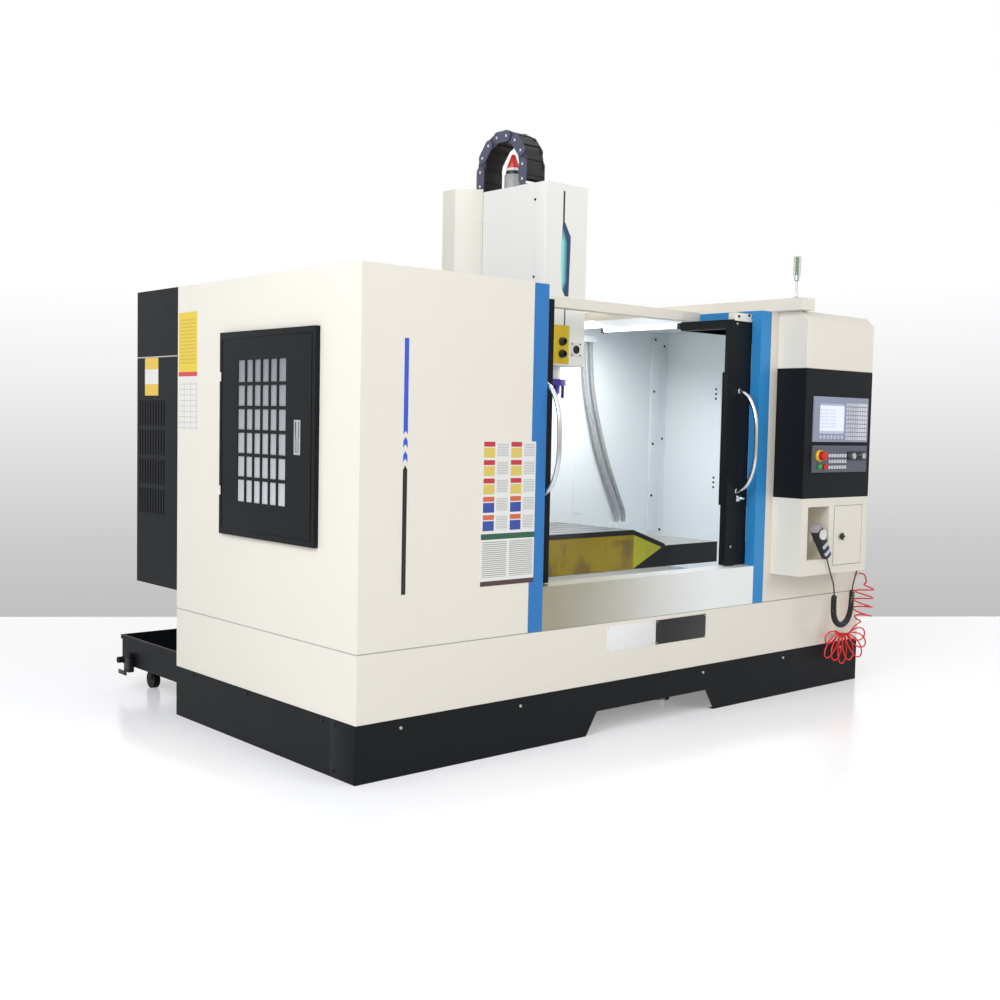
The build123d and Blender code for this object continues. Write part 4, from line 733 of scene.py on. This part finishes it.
# Side windows: black pressed frames with a cut grille over frosted polycarbonate.
# Each has a rolled bead round it and a flush pull in satin chrome.
frosted, shader, place = new_finish("frosted_pane", Coat_Weight=0.15)
x, y, z = axes(place)
# Painted shade: the frosted grey darkens towards the top of the pane.
painted_shade_upward = ((z - 0.95) / 0.75) + 0.25 * (cloud(place, 3) - 0.5)
feed(shader, tint(painted_shade_upward, rgb(0.62, 0.63, 0.64), rgb(0.18, 0.2, 0.21)), 0.32 + 0.15 * cloud(place, 6),
     Normal=relief(cloud(place, 500, 2), 0.0001, 0.6))
finish_nodes(frosted, "left_side_pane", "right_side_pane")
bead, inset, wide = 0.0022, 0.024, 0.004
for body, node, way in (("left_window", "left_side_door", -1), ("right_window", "right_side_door", 1)):
    softened(node, 0.0012, black)
    low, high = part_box(node)
    outer = low.x if way < 0 else high.x
    near, far = sorted((outer, outer + way * bead))
    front, back, foot, top = low.y + inset, high.y - inset, low.z + inset, high.z - inset
    sides = [slab(node + "_bead", (near, a, b), (far, c, d), 0.0006, black, body) for a, b, c, d in (
        (front, foot, back, foot + wide), (front, top - wide, back, top),
        (front, foot, front + wide, top), (back - wide, foot, back, top))]
    mount(joined(node + "_bead", sides), body)
chrome = ground_steel("chrome_plate", rgb(0.8, 0.8, 0.81), 0.12, (20, 20, 20), "chrome")
satin = ground_steel("satin_chrome", rgb(0.72, 0.73, 0.74), 0.28, (200, 200, 8))
finish_nodes(satin, "left_side_handle", "right_side_handle")


# Screws inside the cabin: black oxide, along the corner strip and in the hinges of the right window.
# The strip is folded sheet in white enamel and covers the joint of the back wall.
back_face = face + 1.46
strip_face = back_face - 0.012
slab("corner_strip", (1.552, strip_face, 0.735), (1.636, back_face, 1.962), 0.001, white)
screws("corner_screws", [(1.577, strip_face, z) for z in (1.9505, 1.6218, 1.2889, 0.9588)], 0.008,
       black_oxide)
screws("corner_far_screws", [(1.68, back_face + 0.002, z) for z in (1.915, 1.322, 0.735)], 0.008,
       black_oxide)
screws("hinge_screws", [(skirt_high.x - 0.002, 0.0845, z)
       for z in (1.6385, 1.6091, 1.5797, 1.0888, 1.0594, 1.03)], 0.007, black_oxide, toward=leftward)


# Front doors: black folded leaves with a clear polycarbonate pane and a bent chrome tube as handle,
# which slide in front of the opening on rollers in the sill's track.
# The right leaf has a chrome catch below its handle and hangs on a cream bracket.
clear, shader, place = new_finish("clear_pane", Transmission_Weight=0.9, IOR=1.3, Alpha=0.35)
feed(shader, tint(cloud(place, 5), rgb(0.8, 0.84, 0.85), rgb(0.86, 0.9, 0.91)),
     0.05 + 0.06 * cloud(place, 9))
finish_nodes(clear, "left_door_pane", "right_door_pane")
door_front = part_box("right_door")[0].y
catch_x = 0.66
for body, x, low, high, crown in (
        ("left_door", -0.726, 1.088, 1.59, -0.127), ("right_door", catch_x, 1.081, 1.588, -0.113)):
    node = body + "_handle"
    bend = ((0, 0), (-0.02, 0.003), (crown * 0.58, 0.034), (crown * 0.88, 0.098), (crown, 0.18))
    bow = [(x, door_front + out, high - drop) for out, drop in bend]
    bow += [(x, door_front + out, low + drop) for out, drop in reversed(bend)]
    grip = curve_piece(node + "_bow", bow, 0.0105, 6)
    grip.data.bevel_resolution = 4
    choose(grip)
    bpy.ops.object.convert(target="MESH")
    grip = bpy.context.object
    dress(grip, chrome)
    bpy.ops.object.shade_smooth_by_angle(angle=radians(40))
    mount(grip, body)
    for end, z in (("top", high), ("bottom", low)):
        turned(f"{node}_rose_{end}", [(0, 0), (0.014, 0), (0.014, 0.003), (0.012, 0.005), (0, 0.005)],
               (x, door_front, z), chrome, body, toward=forward, steps=24)
    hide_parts(node)
slab("door_catch", (catch_x - 0.016, door_front - 0.016, 1.03), (catch_x + 0.02, door_front, 1.06), 0.003,
     chrome, "right_door")
slab("door_catch_tongue", (catch_x + 0.014, door_front - 0.03, 1.04),
     (catch_x + 0.034, door_front - 0.006, 1.05), 0.002, chrome, "right_door")
slab("door_hanger", (0.604, door_front - 0.003, 1.94), (0.7395, door_front + 0.04, 1.9805), 0.0012, cream,
     "right_door")
screws("door_hanger_screws", [(0.63, door_front - 0.003, 1.9622), (0.7132, door_front - 0.003, 1.9722)],
       0.007, black_oxide, "right_door")
window_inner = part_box("right_side_door")[0].x
screws("window_screws", [(window_inner, -0.012, z) for z in (1.651, 1.349, 1.049)], 0.006, zinc,
       "right_window", toward=leftward)
screw_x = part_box("right_door")[0].x + 0.04
screws("door_screws", [(screw_x, door_front, z) for z in (1.925, 0.8)], 0.006, zinc, "right_door")


# Sill under the opening: a brushed stainless cover plate, folded over the track of the doors.
# It is bare; its colour is a painted reflection, dull yellowish grey at its left end and bright pale grey
# towards its right.
stainless, shader, place = new_finish("stainless_sheet")
x, y, z = axes(place)
brushed = grain(place, (3, 3, 420), 4)
# Painted reflection: yellowish and more metallic at the left end, pale, bright and less metallic to the
# right.
share = (x + 0.62 + 0.35 * (cloud(place, 2.2) - 0.5)).at_most(1).at_least(0)
feed(shader, tint(share, rgb(0.42, 0.395, 0.29), rgb(0.9, 0.92, 0.91)), 0.34 + 0.12 * (brushed - 0.5),
     Metallic=0.75 - 0.55 * share, Normal=relief(brushed, 0.00006, 0.4))
softened("front_sill", 0.001, stainless)


# Saddle, table and apron: scraped iron castings with ground tops and T-slots, between steel way covers.
# The apron is yellow film over sheet, worn and stained, with a black rubber strip along its upper edge.
covers, shader, place = new_finish("way_cover_steel")
x, y, z = axes(place)
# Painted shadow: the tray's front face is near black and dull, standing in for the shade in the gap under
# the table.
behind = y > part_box("saddle_tray")[0].y + 0.004
wiped = grain(place, (3, 90, 3), 3)
oil = ((cloud(place, 4, 2) - 0.48) / 0.22).at_least(0)
bright = tint(wiped, rgb(0.6, 0.61, 0.6), rgb(0.78, 0.8, 0.8))
bright = tint(oil * 0.3, bright, rgb(0.66, 0.66, 0.45))
feed(shader, tint(behind, rgb(0.013, 0.013, 0.016), bright), 0.3 + 0.2 * wiped, Metallic=0.75 * behind)
softened("saddle_tray", 0.001, covers)
machined = ground_steel("machined_iron", rgb(0.4, 0.4, 0.4), 0.34, (6, 500, 6))
finish_nodes(casting_cream, "saddle")
finish_nodes(machined, "table")
table_low, table_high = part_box("table")
yellow, shader, place = new_finish("yellow_film", Coat_Weight=0.4, Coat_Roughness=0.15)
x, y, z = axes(place)
torn = grain(place, (9, 9, 5), 6)
sheen = cloud(place, 3, 2)
worn = ((torn - 0.52) / 0.16).at_least(0).at_most(0.75)
past_end = (x - table_high.x).at_least(table_low.x - x).at_least(0)
edge_line = table_high.z - past_end * 0.3385
colour = layered(
    tint(sheen, rgb(0.3, 0.21, 0.012), rgb(0.52, 0.38, 0.02)),
    # Past the table's end the same film is painted lighter: painted light on that face.
    (x > table_high.x, tint(sheen, rgb(0.55, 0.52, 0.02), rgb(0.78, 0.76, 0.05))),
    (worn * (z < 0.8), rgb(0.2, 0.14, 0.045)),
    (z > (edge_line - 0.026), rgb(0.014, 0.014, 0.015)))
feed(shader, colour, 0.3 + 0.25 * torn)
softened("table_guard", 0.0007, yellow)


# Head: cream sheet cover over the casting, an accent inlay on its front, a yellow service plate low down
# with two black cable glands, and beside it a round port with four screws.
casting, shader, place = new_finish("head_paint")
x, y, z = axes(place)
ring = between(z, 1.53, 1.633)
paint = tint(cloud(place, 1.3), rgb(0.78, 0.77, 0.72), rgb(0.82, 0.81, 0.76))
feed(shader, tint(ring, paint, rgb(0.045, 0.035, 0.3)), 0.5 - 0.15 * ring,
     Normal=relief(cloud(place, 260, 2), 0.00012, 0.8))
finish_nodes(casting, "head_casting")
finish_nodes(satin, "spindle")
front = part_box("head_cover")[0].y
accent, shader, place = new_finish("accent_film", "blue_paint", Coat_Weight=0.3)
x, y, z = axes(place)
# Painted highlight: the navy film turns bright teal towards its left edge, near the middle of its height.
from_middle = ((z - 2.22).size() - 0.1).at_least(0)
painted_highlight = (((0.008 - x) / 0.03).at_most(1) - from_middle * 14).at_least(0)
feed(shader, tint(painted_highlight, rgb(0.006, 0.045, 0.13), rgb(0.25, 0.8, 0.74)), 0.3 + 0.1 * cloud(place, 20))
film("accent_body", [(-0.0262, 2.42), (-0.015, 2.42), (0.03, 2.348), (0.0305, 2.3089), (0.0235, 2.048),
     (-0.0022, 2.048), (-0.0241, 2.0828), (-0.0345, 2.2), (-0.035, 2.3015)], front, accent, "head")
for name, left, right, foot, top in (
        ("accent_line", -0.0262, -0.015, 2.4195, 2.57), ("accent_line_low", -0.003, 0.0045, 1.9, 2.01)):
    film(name, [(left, foot), (right, foot), (right, top), (left, top)], front, stripe_black, "head")
service_yellow = powder_coat("service_yellow", rgb(0.72, 0.5, 0.01), 0.35, slot="yellow_sheet")
plate_face, port_face = front - 0.004, front - 0.003
slab("service_plate", (-0.074, plate_face, 1.708), (0.034, front, 1.901), 0.0012, service_yellow, "head")
grip_black = rubber("grip_black", rgb(0.02, 0.02, 0.022), 0.42, 0.5, "black_plastic")
gland_black = rubber("gland_black", rgb(0.016, 0.016, 0.018), 0.34, 0.5, "black_plastic")
gland_profile = [(0, 0), (0.021, 0), (0.021, 0.009), (0.018, 0.012), (0.018, 0.02), (0.0155, 0.024),
                 (0.0115, 0.024), (0.0115, 0.01), (0, 0.01)]
for name, z in (("service_gland", 1.82), ("service_gland_low", 1.758)):
    turned(name, gland_profile, (-0.018, plate_face, z), gland_black, "head", toward=forward)
port_x, port_z = 0.085, 1.784
slab("port_plate", (0.048, port_face, 1.748), (0.122, front, 1.82), 0.001, casting_cream, "head")
turned("port_ring", [(0, 0.002), (0.017, 0.002), (0.017, 0), (0.021, 0), (0.021, 0.005), (0.018, 0.007),
       (0.014, 0.007), (0.013, 0.003), (0, 0.003)], (port_x, port_face, port_z), gland_black, "head",
       toward=forward)
screws("port_screws", [(port_x + a, port_face, port_z + b) for a in (-0.029, 0.029)
       for b in (-0.028, 0.028)], 0.004, black_oxide, "head")
head_side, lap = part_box("head_cover")[0].x, 0.0012
for name, low_x in (("head_lap_left", head_side - lap), ("head_lap_right", -head_side)):
    slab(name, (low_x, front + 0.002, 1.702), (low_x + lap, -0.22, 2.603), 0.0005, head_coat, "head")
for name, x, toward in (
        ("head_side_screws", head_side - lap, leftward), ("head_far_screws", lap - head_side, (1, 0, 0))):
    screws(name, [(x, -0.2285, z) for z in (2.5202, 2.1378)], 0.006, black_oxide, "head", toward=toward)


# Oil reservoir on the head, inside the arch of the chain: grey moulded body, black collar,
# and a red breather cap with a white band, screwed down on the cover's roof.
cup = (-0.024, 0.08, 2.6056)
cup_grey = rubber("reservoir_grey", rgb(0.42, 0.42, 0.41), 0.4, 0.3, "grey_plastic")
cup_red = rubber("breather_red", rgb(0.7, 0.045, 0.03), 0.35, 0.3, "red_plastic")
for name, material, low, high, profile in (
        ("reservoir_body", cup_grey, 0, 0.094, [
            (0.05, 0), (0.05, 0.008), (0.045, 0.012), (0.045, 0.088), (0.041, 0.094)]),
        ("reservoir_collar", grip_black, 0.094, 0.112, [
            (0.034, 0.094), (0.038, 0.098), (0.038, 0.108), (0.033, 0.112)]),
        ("breather_band", plate_white, 0.112, 0.126, [(0.036, 0.112), (0.037, 0.114), (0.035, 0.126)]),
        ("breather_cap", cup_red, 0.126, 0.198, [
            (0.033, 0.126), (0.034, 0.129), (0.012, 0.192), (0.008, 0.197)])):
    turned(name, [(0, low), *profile, (0, high)], cup, material, "head")


# Cable chain: glass-filled nylon links, dark with a blue cast, on pale snap pins, closed by snap-on lids.
# One end is screwed on the column and the other on a pad on the head.
chain_low, chain_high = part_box("cable_chain")
chain, shader, place = new_finish("chain_nylon")
x, y, z = axes(place)
colour = layered(rgb(0.01, 0.0095, 0.01), *(
    ((x < (chain_low.x + depth)) + (x > (chain_high.x - depth)), layer) for depth, layer in (
        (0.0085, rgb(0.04, 0.042, 0.07)), (0.004, rgb(0.08, 0.084, 0.13)),
        (0.0009, rgb(0.72, 0.72, 0.74)))))
feed(shader, colour, 0.38 + 0.2 * cloud(place, 20), Normal=relief(cloud(place, 700, 2), 0.0001, 0.5))
arch, link_half, leg_links, lid_width = 0.164, 0.029, 3, 0.117
arch_y = chain_low.y + link_half + arch
arch_z = chain_high.z - link_half - arch * sin(3 * pi / 7)
pitch = 2 * arch * sin(pi / 14)
chain_x = (chain_low.x + chain_high.x) / 2


def chain_lids(name, offset):
    """Snap-on lids of the links as one band, at a distance outside or inside the line of the pins."""
    reach = arch + offset
    line = [(arch_y + reach, arch_z - leg_links * pitch + 0.01), (arch_y + reach, arch_z)]
    for step in range(8):
        angle = pi * step / 7
        line.append((arch_y + reach * cos(angle), arch_z + reach * sin(angle)))
    line.append((arch_y - reach, arch_z - pitch))
    band = drawn([(chain_x - lid_width / 2, y, z) for y, z in line])
    bpy.ops.mesh.extrude_region_move(TRANSFORM_OT_translate={"value": (lid_width, 0, 0)})
    bpy.ops.mesh.select_all(action="SELECT")
    bpy.ops.mesh.solidify(thickness=0.0016)
    return settle(band, name, chain, 20)


links = softened("cable_chain", 0.0006, chain)
lids = [chain_lids("lids_outside", 0.0245), chain_lids("lids_inside", -0.0245)]
chain_run = joined("cable_chain_run", [links, *lids])
chain_run.parent = None
chain_run.matrix_world = Matrix.Identity(4)
del chain_run["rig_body"]
column_y, head_y = arch_y + arch, arch_y - arch
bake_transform(chain_run)
slab("chain_pad", (chain_low.x, head_y - 0.028, 2.6048), (chain_high.x, head_y + 0.028, 2.6072), 0.0005,
     head_coat, "head")


# Work light: a lit glass tube between dark end caps, held under the duct by two dark moulded clips.
# A soft lamp beside it gives the light that it throws into the cabin.
tube_low, tube_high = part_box("work_light")
tube, shader, place = new_finish("lit_tube", Emission_Strength=2.2)
x, y, z = axes(place)
glass_part = between(y, tube_low.y + 0.018, tube_high.y - 0.018) * (z < tube_low.z + 0.03)
feed(shader, tint(glass_part, rgb(0.1, 0.1, 0.11), rgb(0.9, 0.92, 0.95)), 0.3 + 0.1 * cloud(place, 20),
     Emission_Color=tint(glass_part, rgb(0, 0, 0), rgb(0.92, 0.97, 1)))
finish_nodes(tube, "work_light")
for clip, end in (("near", tube_low.y - 0.0008), ("far", tube_high.y - 0.0202)):
    slab(f"lamp_clip_{clip}", (tube_low.x - 0.004, end, tube_low.z - 0.004),
         (tube_high.x + 0.004, end + 0.021, tube_high.z + 0.0025), 0.002, gland_black)
soft_lamp("lamp_inside", (0.72, -0.1, 1.9), (0.5, 0.2, 1), (0.5, 0.9), 15)


# Display unit: a grey moulded bezel with a sunk, lit screen that shows plain panes and bars.
# Its pale square keys carry no print.
panel_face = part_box("cnc_unit")[0].y + 0.003
unit, shader, place = new_finish("display_unit", Emission_Strength=0.85)
x, y, z = axes(place)
screen = (y > panel_face + 0.003) * between(x, 1.003, 1.225) * between(z, 1.383, 1.538)
keys = y < (panel_face - 0.001)
bars = (part_of(z, 58) < 0.45) * (between(x, 1.012, 1.088) + between(x, 1.1, 1.15))
bars = bars * between(z, 1.412, 1.512)
picture = layered(
    rgb(0.86, 0.88, 0.98),
    (z > 1.527, rgb(0.3, 0.4, 0.7)),
    (bars * 0.35, rgb(0.36, 0.42, 0.62)),
    (between(x, 1.16, 1.217) * between(z, 1.43, 1.51), rgb(0.86, 0.9, 0.96)),
    (z < 1.397, rgb(0.45, 0.5, 0.66)))
colour = layered(
    rgb(0.3, 0.32, 0.42),
    (keys, tint(x > 1.345, rgb(0.6, 0.61, 0.66), rgb(0.74, 0.75, 0.78))),
    (screen, rgb(0.12, 0.132, 0.156)))
feed(shader, colour, 0.36 + 0.12 * cloud(place, 30), Emission_Color=tint(screen, rgb(0, 0, 0), picture))
softened("cnc_unit", 0.0009, unit)


# Operator panel: a darker moulded face with pale keys and a black block behind the two knobs.
# The emergency stop stands in a yellow collar, and the start and stop buttons are green and red.
panel, shader, place = new_finish("panel_face")
x, y, z = axes(place)
keys = y < (panel_face - 0.001)
block = between(x, 1.258, 1.435) * between(z, 1.244, 1.292)
colour = layered(
    rgb(0.1, 0.105, 0.14),
    (keys, rgb(0.66, 0.67, 0.7)),
    (block, rgb(0.012, 0.012, 0.014)))
feed(shader, colour, 0.36 + 0.12 * cloud(place, 30))
softened("operator_panel", 0.0009, panel)
yellow_gloss = rubber("yellow_gloss", rgb(0.8, 0.55, 0.02), 0.25, 0.2, "yellow_sheet")
finish_nodes(rubber("red_gloss", rgb(0.62, 0.02, 0.02), 0.22, 0.2), "estop_button", "stop_button")
finish_nodes(rubber("green_gloss", rgb(0.02, 0.36, 0.07), 0.22, 0.2), "start_button")
finish_nodes(satin, "feed_knob", "speed_knob")
finish_nodes(black_oxide, "locker_knob")
turned("estop_collar", [(0.0235, 0), (0.03, 0), (0.03, 0.01), (0.0275, 0.013), (0.0245, 0.013),
       (0.0235, 0.01), (0.0235, 0)], (1.008, panel_face, 1.269), yellow_gloss, toward=forward)


# Locker in the pendant's base: a thin dark seal on three sides of its door, clear of the hinge side,
# glued on the box's face, and a lobed grip of moulded plastic that turns with the knob.
seal_grey = rubber("seal_grey", rgb(0.1, 0.095, 0.08), 0.5, 0.3, "black_rubber")
locker_low, locker_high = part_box("locker_door")
gap, rise, wide = 0.0015, 0.0003, 0.002
left, right, foot, top = locker_low.x - gap, locker_high.x + gap, locker_low.z - rise, locker_high.z + rise
near, far = locker_low.y - 0.0007, locker_low.y + 0.0003
strips = [slab("locker_seal", (a, near, b), (c, far, d), 0.0002, seal_grey, steps=1) for a, b, c, d in (
    (left - wide, foot - wide, right, foot), (left - wide, top, right, top + wide),
    (left - wide, foot - wide, left, top + wide))]
mount(joined("locker_seal", strips))
knob_low, knob_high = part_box("locker_knob")
middle = (knob_low + knob_high) / 2
near, far = knob_low.y - 0.001, knob_low.y + 0.009
lobes = [slab("locker_grip", (middle.x - wide, near, middle.z - tall),
              (middle.x + wide, far, middle.z + tall), 0.003, gland_black,
              "locker_knob") for wide, tall in ((0.019, 0.0065), (0.0065, 0.019))]
mount(joined("locker_grip", lobes), "locker_knob")


# Handset: a hollow moulded shell, black with a grey upper part, rows of pale keys and a grey hand wheel.
# It leans in the open niche beside the locker, at the end of its cord.
handset, shader, place = new_finish("handset_shell", "black_plastic")
x, y, z = axes(place)
from_x, from_z = x - 1.028, z - 0.842
down = from_x * 0.5664 - from_z * 0.8241
aside = from_x * 0.8241 + from_z * 0.5664
keys = between(part_of(down + 0.014, 23), 0, 0.48) * between(down, 0.02, 0.112) * (aside.size() < 0.024)
keys = keys * (y < (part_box("pulse_handset")[0].y + 0.03))
colour = layered(
    rgb(0.016, 0.016, 0.02),
    (down < -0.062, rgb(0.34, 0.31, 0.31)),
    (keys, rgb(0.55, 0.6, 0.72)))
feed(shader, colour, 0.4 + 0.15 * cloud(place, 25))
hand_long, hand_middle = 0.205, Vector((1.0363, -1.167, 0.8295))
grip_body = begin("cube", size=1)
bpy.ops.transform.resize(value=(0.06, 0.05, hand_long))
bpy.ops.mesh.bevel(offset=0.01, segments=3, affect="EDGES")
shape = bmesh.from_edit_mesh(grip_body.data)
for vertex in shape.verts:
    vertex.co.x *= 0.86 + 0.14 * cos(pi * (0.25 - vertex.co.z / hand_long))
    vertex.co.y *= 0.9 + 0.2 * vertex.co.z / hand_long
bmesh.update_edit_mesh(grip_body.data)
settle(grip_body, "handset_shell", handset, 50)
grip_body.data.transform(Matrix.Translation(hand_middle) @ Matrix.Rotation(radians(-34.5), 4, "Y"))
mount(grip_body)
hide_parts("pulse_handset")
finish_nodes(rubber("dial_grey", rgb(0.7, 0.71, 0.7), 0.3, 0.3), "handset_dial")


# Signal tower: a slim turned rod on a screwed foot, with a clear glass tube on it.
# A dark green lamp stands inside the glass.
low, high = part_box("signal_tower")
foot = ((low.x + high.x) / 2, (low.y + high.y) / 2, low.z)
rod_metal = ground_steel("tower_rod", rgb(0.55, 0.56, 0.53), 0.3, (200, 200, 8))
lamp_green, shader, place = new_finish("lamp_green", "green_plastic", Coat_Weight=0.4)
spots = cloud(place, 30)
feed(shader, tint(spots, rgb(0.1, 0.19, 0.1), rgb(0.16, 0.27, 0.15)), 0.25 + 0.1 * spots)
lamp_glass, shader, place = new_finish(
    "lamp_glass", "frosted", Transmission_Weight=0.6, IOR=1.2, Alpha=0.55)
feed(shader, tint(cloud(place, 30), rgb(0.55, 0.64, 0.55), rgb(0.62, 0.7, 0.62)),
     0.06 + 0.08 * cloud(place, 20))
rod = turned("signal_tower_rod", [(0, 0), (0.022, 0), (0.022, 0.004), (0.007, 0.01), (0.005, 0.04),
             (0.005, 0.088), (0.012, 0.092), (0.013, 0.112), (0.011, 0.12), (0, 0.12)], foot, rod_metal)
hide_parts("signal_tower")
turned("signal_tower_core", [(0, 0.12), (0.0085, 0.12), (0.0085, 0.204), (0.006, 0.208), (0, 0.208)], foot,
       lamp_green)
turned("signal_tower_glass", [(0, 0.118), (0.016, 0.118), (0.019, 0.122), (0.019, 0.206), (0.016, 0.213),
       (0, 0.214)], foot, lamp_glass)


# Flush hoses: grey ribbed plastic hose down the inside of the back wall.
hose_grey, shader, place = new_finish("ribbed_hose")
x, y, z = axes(place)
ribs = z.maths("SINE", z * 900)
# The rib wave also sets the colour: painted shade in the troughs and a painted highlight on the crests.
feed(shader, tint(ribs * 0.5 + 0.5, rgb(0.16, 0.16, 0.17), rgb(0.58, 0.59, 0.6)),
     0.4 + 0.1 * cloud(place, 20), Normal=relief(ribs, 0.0012, 0.8))
finish_nodes(hose_grey, "flush_hoses")
